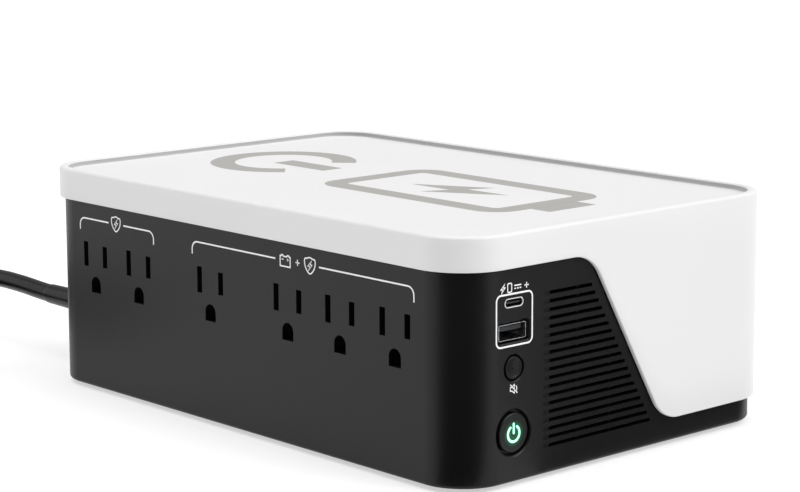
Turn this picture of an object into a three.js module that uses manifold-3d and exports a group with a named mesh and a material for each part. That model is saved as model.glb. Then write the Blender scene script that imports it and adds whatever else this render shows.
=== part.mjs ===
// Desktop uninterruptible power supply: a flat moulded case with six outlets in its long side,
// USB ports, two buttons and air slots in one end, a battery in the base, and a mains cord.
// Millimetres, +Z up. The origin is the middle of the rectangle that the feet stand on.
// -Y is the outlet side, +X the end with the buttons, -X the end that the cord leaves.

import * as THREE from "three";
import { mergeVertices } from "three/addons/utils/BufferGeometryUtils.js";
import Module from "manifold-3d";

// ---------- driving dimensions ----------

const gap = 0.3; // between pieces that touch on the real object

// The case: an open box with rounded upright corners.
const caseLength = 241;
const caseDepth = 160;
const caseRadius = 18;
const wall = 2.5;
const floorThickness = 2.5;
const footHeight = 1.5;
const footRadius = 4.5;
const footSeat = 0.7; // depth of the foot's recess in the base
const footInset = [11.5, 24]; // from the case's sides to the foot's middle

// The cover: a lid with a recessed top and a skirt that drops down the rear and both ends.
const coverWall = 1.8;
const coverTop = 88.2; // above the surface it stands on
const rimWidth = 3.6;
const recessDepth = 2.4;
const coverPanel = 2.2;
const bandHeight = 12.15; // cover height along the outlet side
const skirtClearance = 9.1; // black case left showing under the skirt
const skirtCorner = 61.5; // from the rear face to where the slope meets the skirt's low edge
const skirtSlope = 60; // degrees from level
const skirtFillet = 15;

// Cover screws, driven from below into posts that hang from the cover.
const screwInset = [13, 11];
const screwRadius = 1.5;
const screwHeadRadius = 3;
const screwHeadHeight = 1.5;
const screwHeadSink = 2.2;
const screwCross = [3.6, 0.9, 0.8]; // length, width and depth of the driver's cross
const screwLength = 15;
const screwSeatHeight = 3; // floor boss above the floor
const postRadius = 4;

// Outlets along the front: two, one, three, with wider spaces beside the single one.
const outletPitch = 28.6;
const outletWideStep = 45.1;
const outletHeight = 53.6; // blade slots' middle above the case's bottom
const slotSpacing = 12.7;
const slotWidth = 2.9;
const neutralSlot = 9.9;
const lineSlot = 8.5;
const groundDrop = 11.8;
const groundWidth = 6.2;
const groundHeight = 6.5;
const carrierDepth = 18.5;
const carrierMargin = 12.5; // beyond the end outlets' middles
const carrierHeight = 31;
const carrierDrop = 4; // carrier's middle below the blade slots' middle
const bladeBay = [4.2, 11.5];
const groundBay = [6.8, 9.8];
const busThickness = 1;
const busHeight = 3;
const leafThickness = 0.5;
const leafLength = 14;
const bladeLeafOpening = 2;
const groundLeafOpening = 5.2;

// The control end: everything stands on one upright line.
const controlInset = 24.8; // from the outlet face to that line
const powerHeight = 17.4; // above the case's bottom, as are the four below
const muteHeight = 39.9;
const usbAHeight = 52.3;
const usbCHeight = 62.4;
const powerHole = 8.1;
const powerCap = 6.85;
const muteHole = 4.65;
const muteCap = 3.95;
const buttonFlange = 0.9; // flange beyond the hole
const buttonFlangeThickness = 1.3;
const powerTravel = 1.2;
const muteTravel = 1;
const stemRadius = 1.5;
const stemClearance = 0.4; // beyond the travel, before the switch
const switchSize = [6, 3.5]; // width and depth of a switch's body
const plungerSize = [1.7, 0.5]; // radius and length of what a stem presses
const controlBoardWidth = 17.5;
const usbBoardWidth = 19;
const boardMargin = 5; // beyond the highest and lowest piece on a control board
const usbAOpening = [14, 7.1];
const usbAShell = [13.1, 5.7];
const usbAWall = 0.35;
const usbARecess = 1;
const usbCShell = [8.94, 3.26];
const usbCWall = 0.3;
const portGap = 0.2;
const usbDepth = 15;
const controlBoardSetback = 10; // from the wall's inner face to the board
const boardThickness = 1.6;

// Air slots beside the buttons; their far ends follow the cover's slope.
const ventCount = 19;
const ventPitch = 2.975;
const ventHeight = 1.3;
const ventLowest = 9.95; // above the case's bottom
const ventStart = 42.5; // from the outlet face
const ventToCover = 4.2;
const ventRibs = [58.5, 75.2]; // upright ribs behind the slots, from the outlet face
const ventRibWidth = 1.6;
const ventRibDepth = 2.5;

// Battery: a sealed 12 V block lying flat, its lid and terminals facing the main board.
const batterySize = [151, 94, 65];
const batteryMiddle = -24; // along X
const batteryInset = 16; // from the case's rear face
const batteryLid = 5.7;
const batteryWall = 2.5;
const cellCount = 6;
const cellBase = 6; // height over which the cells are joined
const terminalInset = 14.5;
const terminalDrop = 9.5;
const terminalTab = [6.3, 10, 0.8];
const terminalSunk = 3;
const leadRadius = 1.6;

// Battery door: a plate in the base with side tongues, sliding out to the rear.
const doorPassage = 1; // door opening beyond the battery, each side
const doorTongue = 2.5;
const doorLedge = 1.1;
const doorFront = 2.7; // door opening in front of the battery
const doorThickness = 2.4;
const gripPlaces = [8, 12, 16]; // finger grooves, from the rear face
const gripSize = [40, 1.6, 0.6];
const guideSetback = 0.4; // ribs beside the door opening that keep the battery in place
const guideThickness = 1.5;
const guideInset = 10; // from the battery's ends
const guideHeight = 16;

// Boards and power parts.
const mainBoardFront = 38.4; // board's front face, from the outlet face
const mainBoardLength = 196;
const mainBoardHeight = 65.5;
const mainBoardBottom = 5; // above the case's bottom
const channelHeight = 13;
const channelWall = 3; // each side of the board
const relayPlaces = [-60, -30];
const relayHeight = 26.5; // above the case's bottom, as are the two below
const relaySize = [19, 12, 16];
const capacitorAt = [61, 28.5];
const capacitorSize = [8, 27]; // radius and length
const buzzerAt = [8, 58.5];
const buzzerSize = [6, 7]; // radius and depth
const buzzerVent = [1.2, 2]; // radius and depth
const transformerSize = [52, 30, 45];
const transformerMiddle = [86, 35];
const transformerLift = 6.5;
const windingOverhang = 8;
const strapThickness = 1.2;
const strapDepth = 20;
const heatSinkSize = [38, 27, 42];
const heatSinkMiddle = 90;
const finCount = 7;
const finThickness = 1.2;
const sinkBase = 3;
const sinkSetback = 5; // from the main board
const transistorPitch = 12.5;
const transistorWidth = 10;
const transistorRise = 22.5; // its body's bottom above the case's bottom
const transistorHeight = 9.5;
const transistorTab = [1.3, 7]; // thickness, and height above the body
const legPitch = 2.54;
const legSize = [0.8, 0.6, 6.5];

// Left end: circuit breaker and cord.
const breakerAt = [60, 42]; // from the outlet face, above the case's bottom
const breakerHole = 5.2;
const breakerButtonRadius = 3.6;
const breakerButtonProud = 1.6;
const breakerTravel = 1;
const breakerBody = [15, 16, 20];
const cordExit = [30, 22.9]; // from the outlet face, above the case's bottom
const cordDiameter = 7.6;
const bootHole = 6;
const bootLength = 45;
const bootRadii = [5.6, 4.2]; // at the case and at its tip
const bootCollar = 3; // thickness of the collar against the case
const bootRings = [6.8, 13.8, 20.8, 27.8]; // grooves' middles, from the tip
const bootRingWidth = 1.6;
const bootRingDepth = 0.25;

// Coil of spare cord, its tie and the plug.
const tieThickness = 0.8;
const tieWidth = 10;
const coilSetback = 106.5; // from the strain relief's tip to the coil's middle
const coilTurnRadii = [35, 42.6, 50.2];
const coilLayers = 2;
const plugSetback = 101.8; // from the coil's middle to the face that the pins leave
const plugLift = 0.3; // above the surface
const plugBody = [28, 34, 24];
const plugNeck = 8;
const plugBladeSize = [6.35, 17.5, 1.5];
const plugPinRadius = 2.4;
const plugPinLength = 20;
const plugSocket = 5; // depth of the pins inside the plug

// ---------- values that follow ----------

const caseBottom = footHeight;
const floorTop = caseBottom + floorThickness;
const endX = caseLength / 2;
const sideY = caseDepth / 2;
const innerX = endX - wall;
const innerY = sideY - wall;
const coverUnderside = coverTop - recessDepth - coverPanel;
const caseTop = coverUnderside - gap;
const controlY = -sideY + controlInset;
const bladeZ = caseBottom + outletHeight;
const groundZ = bladeZ - groundDrop;
const cordY = -sideY + cordExit[0];
const cordZ = caseBottom + cordExit[1];
const boardX = innerX - controlBoardSetback;
const usbBoardX = endX - usbDepth - gap;
const mainBoardY = -sideY + mainBoardFront;
const slopeRise = Math.tan(THREE.MathUtils.degToRad(skirtSlope));

function outletPlaces() {
  const steps = [0, outletPitch, outletWideStep, outletWideStep, outletPitch, outletPitch];
  const span = steps.reduce((sum, step) => sum + step, 0);
  let x = -span / 2;
  return steps.map((step) => (x += step));
}

const outlets = outletPlaces();
const surgeOutlets = outlets.slice(0, 2);
const backupOutlets = outlets.slice(2);

// ---------- shape helpers ----------

const wasm = await Module();
wasm.setup();

function solid(geometry) {
  const bare = geometry.index ? geometry.toNonIndexed() : geometry.clone();
  bare.deleteAttribute("normal");
  bare.deleteAttribute("uv");
  const merged = mergeVertices(bare, 1e-4);
  return new wasm.Manifold(
    new wasm.Mesh({
      numProp: 3,
      vertProperties: merged.attributes.position.array,
      triVerts: new Uint32Array(merged.index.array),
    }),
  );
}

function geometryOf(body) {
  const { vertProperties, triVerts } = body.getMesh();
  const geometry = new THREE.BufferGeometry();
  geometry.setAttribute("position", new THREE.BufferAttribute(vertProperties, 3));
  geometry.setIndex(new THREE.BufferAttribute(triVerts, 1));
  geometry.computeVertexNormals();
  return geometry;
}

const join = (first, ...rest) => rest.reduce((body, next) => body.add(next), first);
const cut = (first, ...tools) => tools.reduce((body, tool) => body.subtract(tool), first);

function block([x0, x1], [y0, y1], [z0, z1]) {
  const geometry = new THREE.BoxGeometry(x1 - x0, y1 - y0, z1 - z0);
  geometry.translate((x0 + x1) / 2, (y0 + y1) / 2, (z0 + z1) / 2);
  return solid(geometry);
}

// A range of the given size around a middle, and a range made longer at both ends.
const around = (middle, size) => [middle - size / 2, middle + size / 2];
const grow = ([low, high], by) => [low - by, high + by];

function roundedRectangle(width, height, radius, x = 0, y = 0) {
  const w = width / 2 - radius;
  const h = height / 2 - radius;
  const shape = new THREE.Shape();
  const quarter = Math.PI / 2;
  const corners = [[w, h], [-w, h], [-w, -h], [w, -h]];
  corners.forEach(([cx, cy], i) => {
    shape.absarc(x + cx, y + cy, radius, i * quarter, (i + 1) * quarter);
  });
  return shape;
}

// Prisms of a flat shape: upright, along X from a (Y, Z) shape, and along Y from an (X, Z) shape.
function extrude(shape, length, fineness) {
  return new THREE.ExtrudeGeometry(shape, { depth: length, bevelEnabled: false, curveSegments: fineness });
}

function prismZ(shape, [z0, z1], fineness = 3) {
  return solid(extrude(shape, z1 - z0, fineness).translate(0, 0, z0));
}

function prismX(shape, [x0, x1], fineness = 3) {
  const turn = new THREE.Matrix4().makeBasis(
    new THREE.Vector3(0, 1, 0),
    new THREE.Vector3(0, 0, 1),
    new THREE.Vector3(1, 0, 0),
  );
  return solid(extrude(shape, x1 - x0, fineness).applyMatrix4(turn).translate(x0, 0, 0));
}

function prismY(shape, [y0, y1], fineness = 3) {
  return solid(extrude(shape, y1 - y0, fineness).rotateX(Math.PI / 2).translate(0, y1, 0));
}

// Cylinders along each axis, through the point given by the two other coordinates.
function rodZ(radius, [z0, z1], x, y, sides = 24) {
  const geometry = new THREE.CylinderGeometry(radius, radius, z1 - z0, sides);
  return solid(geometry.rotateX(Math.PI / 2).translate(x, y, (z0 + z1) / 2));
}

function rodY(radius, [y0, y1], x, z, sides = 24) {
  const geometry = new THREE.CylinderGeometry(radius, radius, y1 - y0, sides);
  return solid(geometry.translate(x, (y0 + y1) / 2, z));
}

function rodX(radius, [x0, x1], y, z, sides = 24) {
  const geometry = new THREE.CylinderGeometry(radius, radius, x1 - x0, sides);
  return solid(geometry.rotateZ(-Math.PI / 2).translate((x0 + x1) / 2, y, z));
}

// A tube of round section along a smooth curve through the points.
function tube(points, radius, steps, sides = 8) {
  const path = new THREE.CatmullRomCurve3(points.map((p) => new THREE.Vector3(...p)));
  const section = new THREE.Shape();
  for (let i = 0; i < sides; i++) {
    const angle = (i / sides) * 2 * Math.PI;
    const place = [radius * Math.cos(angle), radius * Math.sin(angle)];
    if (i === 0) section.moveTo(...place);
    else section.lineTo(...place);
  }
  return solid(new THREE.ExtrudeGeometry(section, { steps, extrudePath: path }));
}

// ---------- materials ----------

function finish(color, roughness, metalness = 0) {
  return new THREE.MeshStandardMaterial({ color, roughness, metalness });
}

const blackPlastic = () => finish(0x1d1d1f, 0.5);
const whitePlastic = () => finish(0xeeeeee, 0.4);
const rubber = () => finish(0x151515, 0.85);
const cordPlastic = () => finish(0x101011, 0.35);
const steel = () => finish(0xb9bcc0, 0.3, 1);
const brass = () => finish(0xc9a44c, 0.35, 1);
const copper = () => finish(0xb4633a, 0.4, 1);
const laminations = () => finish(0x4a4c50, 0.55, 0.8);
const aluminium = () => finish(0xc4c7ca, 0.4, 1);
const circuitBoard = () => finish(0x1f5c36, 0.5);
const greyPlastic = () => finish(0x6b6e72, 0.55);
const redPlastic = () => finish(0x9c2420, 0.4);
const blueSleeve = () => finish(0x22365e, 0.4);
const greenLens = () => finish(0x57e08c, 0.3);

const part = new THREE.Group();

function add(name, body, material) {
  const mesh = new THREE.Mesh(geometryOf(body), material);
  mesh.name = name;
  part.add(mesh);
}

// ---------- case ----------

const mirrored = [-1, 1];
const corners = mirrored.flatMap((side) => mirrored.map((end) => [side, end]));

function caseOutline(shrink) {
  return roundedRectangle(caseLength - 2 * shrink, caseDepth - 2 * shrink, caseRadius - shrink);
}

const cornerFineness = 4;

function caseShell() {
  const outside = prismZ(caseOutline(0), [caseBottom, caseTop], cornerFineness);
  const inside = prismZ(caseOutline(wall), [floorTop, caseTop + 1], cornerFineness);
  return cut(outside, inside);
}

// One outlet's three openings through the front wall.
function outletOpenings(x) {
  const through = [-sideY - 1, -innerY + 1];
  const slot = (offset, height) => block(around(x + offset, slotWidth), through, around(bladeZ, height));
  const radius = groundWidth / 2;
  const shape = new THREE.Shape();
  shape.moveTo(x - radius, groundZ - groundHeight / 2);
  shape.lineTo(x + radius, groundZ - groundHeight / 2);
  shape.absarc(x, groundZ + groundHeight / 2 - radius, radius, 0, Math.PI);
  return join(
    slot(-slotSpacing / 2, neutralSlot),
    slot(slotSpacing / 2, lineSlot),
    prismY(shape, through, 5),
  );
}

// Where the cover's slope stands at a height, along Y.
const slopeY = (z) => sideY - skirtCorner - (z - caseBottom - skirtClearance) / slopeRise;

function airSlots() {
  const slots = [];
  for (let i = 0; i < ventCount; i++) {
    const z = caseBottom + ventLowest + i * ventPitch;
    const along = [-sideY + ventStart, slopeY(z) - ventToCover];
    slots.push(block([innerX - 1, endX + 1], along, around(z, ventHeight)));
  }
  return join(...slots);
}

function ventRibBars() {
  const top = caseBottom + ventLowest + ventCount * ventPitch;
  const bars = ventRibs.map((inset) =>
    block([innerX - ventRibDepth, innerX + gap], around(-sideY + inset, ventRibWidth), [floorTop - gap, top]),
  );
  return join(...bars);
}

function controlOpenings() {
  const through = [innerX - 1, endX + 1];
  const [aWidth, aHeight] = usbAOpening;
  const [cWidth, cHeight] = usbCShell.map((side) => side + 2 * portGap);
  const usbC = roundedRectangle(cWidth, cHeight, cHeight / 2 - 0.05, controlY, caseBottom + usbCHeight);
  return join(
    rodX(powerHole, through, controlY, caseBottom + powerHeight, 40),
    rodX(muteHole, through, controlY, caseBottom + muteHeight, 32),
    prismX(roundedRectangle(aWidth, aHeight, 0.6, controlY, caseBottom + usbAHeight), through, 1),
    prismX(usbC, through, 2),
  );
}

function leftEndOpenings() {
  const through = [-endX - 1, -innerX + 1];
  return join(
    rodX(breakerHole, through, -sideY + breakerAt[0], caseBottom + breakerAt[1], 24),
    rodX(bootHole, through, cordY, cordZ, 24),
  );
}

const batteryRear = sideY - batteryInset;
const batteryFront = batteryRear - batterySize[1];
const doorHalf = batterySize[0] / 2 + doorPassage;

// The opening in the base for the battery door, narrower at the bottom so that ledges carry the door.
function doorOpening() {
  const along = [batteryFront - doorFront, sideY + 1];
  const narrow = block(around(batteryMiddle, 2 * doorHalf), along, [caseBottom - 1, caseBottom + doorLedge]);
  const wide = block(
    around(batteryMiddle, 2 * (doorHalf + doorTongue)),
    along,
    [caseBottom + doorLedge - gap / 3, floorTop + gap],
  );
  return join(narrow, wide);
}

function footPlace([side, end]) {
  return [side * (endX - footInset[0]), end * (sideY - footInset[1])];
}

function screwPlace([side, end]) {
  return [side * (endX - screwInset[0]), end * (sideY - screwInset[1])];
}

function screwSeats() {
  const seats = corners.map((corner) =>
    rodZ(screwHeadRadius + 2, [floorTop - 1, floorTop + screwSeatHeight], ...screwPlace(corner)),
  );
  return join(...seats);
}

function baseHoles() {
  const holes = corners.flatMap((corner) => [
    rodZ(screwHeadRadius + gap, [caseBottom - 1, caseBottom + screwHeadSink], ...screwPlace(corner)),
    rodZ(screwRadius + gap, [caseBottom, floorTop + screwSeatHeight + 1], ...screwPlace(corner)),
    rodZ(footRadius + gap, [caseBottom - 1, caseBottom + footSeat], ...footPlace(corner)),
  ]);
  return join(...holes);
}

// An upright channel on the floor that one end of the main board slides down into.
function boardChannel(side) {
  const end = mainBoardLength / 2;
  const reach = [end - 2, end + 3.3].map((x) => side * x).sort((a, b) => a - b);
  const slot = [0, end + gap].map((x) => side * x).sort((a, b) => a - b);
  const middle = mainBoardY + boardThickness / 2;
  const top = floorTop + channelHeight;
  return cut(
    block(reach, around(middle, boardThickness + 2 * channelWall), [floorTop - 0.5, top]),
    block(slot, around(middle, boardThickness + 2 * gap), [floorTop, top + 1]),
  );
}

// Ribs on the floor that keep the battery between them.
function batteryGuides() {
  const offset = doorHalf + doorTongue + guideSetback + guideThickness / 2;
  const along = [batteryFront + guideInset, batteryRear - guideInset];
  const ribs = mirrored.map((side) => {
    const across = around(batteryMiddle + side * offset, guideThickness);
    return block(across, along, [floorTop - 0.5, floorTop + guideHeight]);
  });
  return join(...ribs);
}

function lowerCase() {
  const shell = join(caseShell(), screwSeats(), boardChannel(-1), boardChannel(1), batteryGuides());
  const opened = cut(shell, doorOpening(), baseHoles(), controlOpenings(), leftEndOpenings(), airSlots());
  return join(cut(opened, ...outlets.map(outletOpenings)), ventRibBars());
}

// ---------- cover ----------

const coverGrowth = gap + coverWall;

// The space under the front band and in front of the sloping edges, as a (Y, Z) shape.
function frontSpace() {
  const low = caseBottom + skirtClearance;
  const high = coverTop - bandHeight;
  const bend = THREE.MathUtils.degToRad(skirtSlope);
  const run = skirtFillet * Math.tan(bend / 2);
  const highY = slopeY(high) - run;
  const lowY = slopeY(low) + run;
  const shape = new THREE.Shape();
  shape.moveTo(-caseDepth, low - 5);
  shape.lineTo(lowY, low - 5);
  shape.absarc(lowY, low + skirtFillet, skirtFillet, -Math.PI / 2, -Math.PI / 2 - bend, true);
  shape.absarc(highY, high - skirtFillet, skirtFillet, Math.PI / 2 - bend, Math.PI / 2, false);
  shape.lineTo(-caseDepth, high);
  return shape;
}

function coverPosts() {
  const posts = corners.map((corner) => {
    const place = screwPlace(corner);
    const bottom = floorTop + screwSeatHeight + gap;
    const post = rodZ(postRadius, [bottom, coverUnderside + 0.5], ...place);
    return cut(post, rodZ(screwRadius + gap, [bottom - 1, bottom + screwLength], ...place));
  });
  return join(...posts);
}

function topCover() {
  const outside = prismZ(caseOutline(-coverGrowth), [caseBottom + skirtClearance, coverTop], cornerFineness);
  const hollow = prismZ(caseOutline(-gap), [0, coverUnderside], cornerFineness);
  const recessZ = [coverTop - recessDepth, coverTop + 1];
  const recess = prismZ(caseOutline(rimWidth - coverGrowth), recessZ, cornerFineness);
  const front = prismX(frontSpace(), [-caseLength, caseLength], 4);
  return join(cut(outside, hollow, recess, front), coverPosts());
}

// ---------- base pieces ----------

function foot(corner) {
  return rodZ(footRadius, [0, caseBottom + footSeat - gap], ...footPlace(corner));
}

function caseScrew(corner) {
  const place = screwPlace(corner);
  const top = caseBottom + screwHeadSink - gap;
  const bottom = top - screwHeadHeight;
  const [length, width, depth] = screwCross;
  const slot = [bottom - 1, bottom + depth];
  const cross = join(
    block(around(place[0], length), around(place[1], width), slot),
    block(around(place[0], width), around(place[1], length), slot),
  );
  const head = rodZ(screwHeadRadius, [bottom, top], ...place);
  const shank = rodZ(screwRadius, [top - 0.5, top + screwLength], ...place, 12);
  return cut(join(head, shank), cross);
}

function batteryDoor() {
  const along = [batteryFront - doorFront + gap, sideY];
  const rise = [caseBottom, caseBottom + doorThickness];
  const plate = block(around(batteryMiddle, 2 * (doorHalf - gap)), along, rise);
  const tongues = block(
    around(batteryMiddle, 2 * (doorHalf + doorTongue - gap)),
    along,
    [caseBottom + doorLedge + gap, caseBottom + doorThickness],
  );
  const [length, width, depth] = gripSize;
  const grips = gripPlaces.map((back) =>
    block(around(batteryMiddle, length), around(sideY - back, width), [caseBottom - 1, caseBottom + depth]),
  );
  return cut(join(plate, tongues), ...grips);
}

// ---------- outlets ----------

function carrier(places) {
  const x = [places[0] - carrierMargin, places[places.length - 1] + carrierMargin];
  const y = [-innerY + gap, -innerY + gap + carrierDepth];
  const through = [y[0] - 1, y[1] + 1];
  const z = around(bladeZ - carrierDrop, carrierHeight);
  const body = block(x, y, z).intersect(prismZ(caseOutline(wall + gap), grow(z, 1), cornerFineness));
  const bays = places.flatMap((place) => [
    ...mirrored.map((side) =>
      block(around(place + (side * slotSpacing) / 2, bladeBay[0]), through, around(bladeZ, bladeBay[1])),
    ),
    block(around(place, groundBay[0]), through, around(groundZ, groundBay[1])),
  ]);
  return cut(body, ...bays);
}

// A strip behind the carrier with a pair of spring leaves reaching forward at each place.
function busBar(places, offset, opening, stripZ, leafZ) {
  const back = -innerY + gap + carrierDepth + gap;
  const reach = opening / 2 + leafThickness;
  const ends = [places[0] + offset - reach, places[places.length - 1] + offset + reach];
  const strip = block(ends, [back, back + busThickness], stripZ);
  const tabHeight = [Math.min(stripZ[0], leafZ[0]), Math.max(stripZ[1], leafZ[1])];
  const contacts = places.flatMap((place) => {
    const x = place + offset;
    const leaves = mirrored.map((side) => {
      const leafX = x + (side * (opening + leafThickness)) / 2;
      return block(around(leafX, leafThickness), [back - leafLength, back + busThickness], leafZ);
    });
    return [block(around(x, 2 * reach), [back, back + busThickness], tabHeight), ...leaves];
  });
  return join(strip, ...contacts);
}

function lineBus(places) {
  const strip = [bladeZ - 5.5, bladeZ - 5.5 + busHeight];
  return busBar(places, slotSpacing / 2, bladeLeafOpening, strip, [bladeZ - 5.5, bladeZ - 0.5]);
}

function neutralBus() {
  const strip = [bladeZ + 5.5 - busHeight, bladeZ + 5.5];
  return busBar(outlets, -slotSpacing / 2, bladeLeafOpening, strip, [bladeZ + 0.5, bladeZ + 5.5]);
}

function groundBus() {
  return busBar(outlets, 0, groundLeafOpening, around(groundZ, busHeight), around(groundZ, 6));
}

// ---------- buttons ----------

const powerZ = caseBottom + powerHeight;
const muteZ = caseBottom + muteHeight;
const flangeX = [innerX - gap - buttonFlangeThickness, innerX - gap];
const stemTip = (travel) => boardX + gap + switchSize[1] + plungerSize[1] + travel + stemClearance;
const lensThickness = 1;
const capFace = 1;
const symbolRadius = 2.75;
const symbolStroke = 1.05;
const symbolOpening = 0.62; // half of the ring's open angle at the top, in radians

// The power mark as a (Y, Z) shape pair: an open ring and an upright bar.
function powerMark(stroke, x) {
  const half = stroke / 2;
  const from = Math.PI / 2 + symbolOpening;
  const to = Math.PI / 2 - symbolOpening + 2 * Math.PI;
  const ring = new THREE.Shape();
  ring.absarc(controlY, powerZ - 0.35, symbolRadius + half, from, to, false);
  ring.absarc(controlY, powerZ - 0.35, symbolRadius - half, to, from, true);
  const bar = block(x, around(controlY, stroke), [powerZ - 0.1 - half, powerZ + 3.1 + half]);
  return join(prismX(ring, x, 12), bar);
}

// The disc behind the wall that keeps a button in, trimmed to the case's rounded corner.
function buttonFlangeDisc(hole, z, sides) {
  const radius = hole + buttonFlange;
  const inside = prismZ(caseOutline(wall + gap), around(z, 2 * radius + 2), cornerFineness);
  return rodX(radius, flangeX, controlY, z, sides).intersect(inside);
}

function powerButton() {
  const hollow = powerCap - 1.5;
  const cap = rodX(powerCap, [innerX - gap - 0.5, endX], controlY, powerZ, 40);
  const flange = buttonFlangeDisc(powerHole, powerZ, 40);
  const cup = cut(join(cap, flange), rodX(hollow, [0, endX - capFace], controlY, powerZ, 32));
  const bridge = block([flangeX[0] - 1.2, flangeX[0] + 0.4], around(controlY, 16), around(powerZ, 3));
  const stem = rodX(stemRadius, [stemTip(powerTravel), flangeX[0]], controlY, powerZ, 16);
  return cut(join(cup, bridge, stem), powerMark(symbolStroke + 2 * 0.1, [endX - capFace - 0.5, endX + 1]));
}

function powerSymbolLens() {
  const back = endX - capFace - gap;
  const disc = rodX(powerCap - 1.5 - gap, [back - lensThickness, back], controlY, powerZ, 32);
  return join(disc, powerMark(symbolStroke, [back - 0.5, endX - 0.05]));
}

function muteButton() {
  const cap = rodX(muteCap, [innerX - gap - 0.5, endX], controlY, muteZ, 32);
  const flange = buttonFlangeDisc(muteHole, muteZ, 32);
  const stem = rodX(stemRadius, [stemTip(muteTravel), flangeX[0] + 0.5], controlY, muteZ, 16);
  const nib = rodX(0.6, [endX - 0.5, endX + 0.25], controlY, muteZ, 12);
  return join(cap, flange, stem, nib);
}

function keySwitch(z) {
  const [width, depth] = switchSize;
  const [radius, length] = plungerSize;
  const face = boardX + gap;
  const body = block([face, face + depth], around(controlY, width), around(z, width));
  return join(body, rodX(radius, [face + depth - 0.5, face + depth + length], controlY, z, 16));
}

function controlBoard() {
  const z = [floorTop + gap, muteZ + boardMargin];
  return block([boardX - boardThickness, boardX], around(controlY, controlBoardWidth), z);
}

// ---------- USB ports ----------

const usbAZ = caseBottom + usbAHeight;
const usbCZ = caseBottom + usbCHeight;

function usbBoard() {
  const z = [usbAZ - boardMargin, usbCZ + boardMargin];
  return block([usbBoardX - boardThickness, usbBoardX], around(controlY, usbBoardWidth), z);
}

function portShell([width, height], thickness, radius, z, front) {
  const x = [usbBoardX + gap, front];
  const outer = roundedRectangle(width, height, radius, controlY, z);
  const inside = [width - 2 * thickness, height - 2 * thickness, radius - thickness];
  const inner = roundedRectangle(...inside, controlY, z);
  return cut(prismX(outer, x, 2), prismX(inner, [x[0] - 1, x[1] + 1], 2));
}

const usbAFront = endX - usbARecess;
const usbCFront = endX - 0.1;

function usbAShellBody() {
  return portShell(usbAShell, usbAWall, 0.6, usbAZ, usbAFront);
}

function usbCShellBody() {
  return portShell(usbCShell, usbCWall, usbCShell[1] / 2 - 0.05, usbCZ, usbCFront);
}

function usbATongue() {
  const x = usbBoardX + gap;
  const base = block([x, x + 4], around(controlY, usbAShell[0] - 1.4), around(usbAZ, usbAShell[1] - 1.4));
  return join(base, block([x, usbAFront - 1], around(controlY, 11), [usbAZ + 0.2, usbAZ + 2]));
}

function usbCTongue() {
  const x = usbBoardX + gap;
  const base = block([x, x + 3], around(controlY, usbCShell[0] - 2.6), around(usbCZ, usbCShell[1] - 1.1));
  return join(base, block([x, usbCFront - 0.7], around(controlY, 6.6), around(usbCZ, 0.7)));
}

// ---------- battery ----------

const batteryX = around(batteryMiddle, batterySize[0]);
const batteryZ = [floorTop + 0.5, floorTop + 0.5 + batterySize[2]];
const batteryCaseY = [batteryFront + batteryLid + gap, batteryRear];
function batteryCase() {
  const hollowY = [batteryCaseY[0] - 1, batteryCaseY[1] - batteryWall];
  return cut(
    block(batteryX, batteryCaseY, batteryZ),
    block(grow(batteryX, -batteryWall), hollowY, grow(batteryZ, -batteryWall)),
  );
}

// The cells side by side, joined along their bottoms.
function batteryCells() {
  const x = grow(batteryX, -batteryWall - gap);
  const y = [batteryCaseY[0], batteryCaseY[1] - batteryWall - gap];
  const z = grow(batteryZ, -batteryWall - gap);
  const pitch = (x[1] - x[0]) / cellCount;
  const slits = [];
  for (let i = 1; i < cellCount; i++) {
    slits.push(block(around(x[0] + i * pitch, 1), grow(y, 1), [z[0] + cellBase, z[1] + 1]));
  }
  return cut(block(x, y, z), ...slits);
}

const terminalPlaces = [batteryX[0] + terminalInset, batteryX[1] - terminalInset];
const terminalZ = batteryZ[1] - terminalDrop;
const terminalY = [batteryFront + terminalSunk - terminalTab[1], batteryFront + terminalSunk];

function batteryLidBody() {
  const sockets = terminalPlaces.map((x) =>
    block(
      around(x, terminalTab[0] + 2 * gap),
      [batteryFront - 1, terminalY[1] + gap],
      around(terminalZ, terminalTab[2] + 2 * gap),
    ),
  );
  return cut(block(batteryX, [batteryFront, batteryFront + batteryLid], batteryZ), ...sockets);
}

function terminal(x) {
  return block(around(x, terminalTab[0]), terminalY, around(terminalZ, terminalTab[2]));
}

// A wire from above a terminal, over the main board's top edge, to the board's front.
function batteryLead(x) {
  const start = terminalZ + terminalTab[2] / 2 + gap;
  const over = caseBottom + mainBoardBottom + mainBoardHeight + 4.5;
  const y = batteryFront - 4;
  const board = mainBoardY;
  return tube(
    [
      [x, y, start],
      [x, y, over - 7],
      [x, y - 2.5, over - 1],
      [x, board + 1, over],
      [x, board - 3.6, over - 4],
      [x, board - 4.4, over - 9],
      [x, board - 1.8, over - 13.5],
    ],
    leadRadius,
    24,
  );
}

// ---------- main board and power parts ----------

const boardZ = [caseBottom + mainBoardBottom, caseBottom + mainBoardBottom + mainBoardHeight];
const boardBack = mainBoardY + boardThickness;

function mainBoard() {
  return block(around(0, mainBoardLength), [mainBoardY, boardBack], boardZ);
}

function relay(x) {
  const [width, depth, height] = relaySize;
  const y = [mainBoardY - gap - depth, mainBoardY - gap];
  return block(around(x, width), y, around(caseBottom + relayHeight, height));
}

function capacitor() {
  const [radius, length] = capacitorSize;
  const y = [boardBack + gap, boardBack + gap + length];
  return rodY(radius, y, capacitorAt[0], caseBottom + capacitorAt[1], 24);
}

function buzzer() {
  const place = [buzzerAt[0], caseBottom + buzzerAt[1]];
  const [radius, depth] = buzzerSize;
  const y = [mainBoardY - gap - depth, mainBoardY - gap];
  const vent = rodY(buzzerVent[0], [y[0] - 1, y[0] + buzzerVent[1]], ...place, 12);
  return cut(rodY(radius, y, ...place, 24), vent);
}

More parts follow.
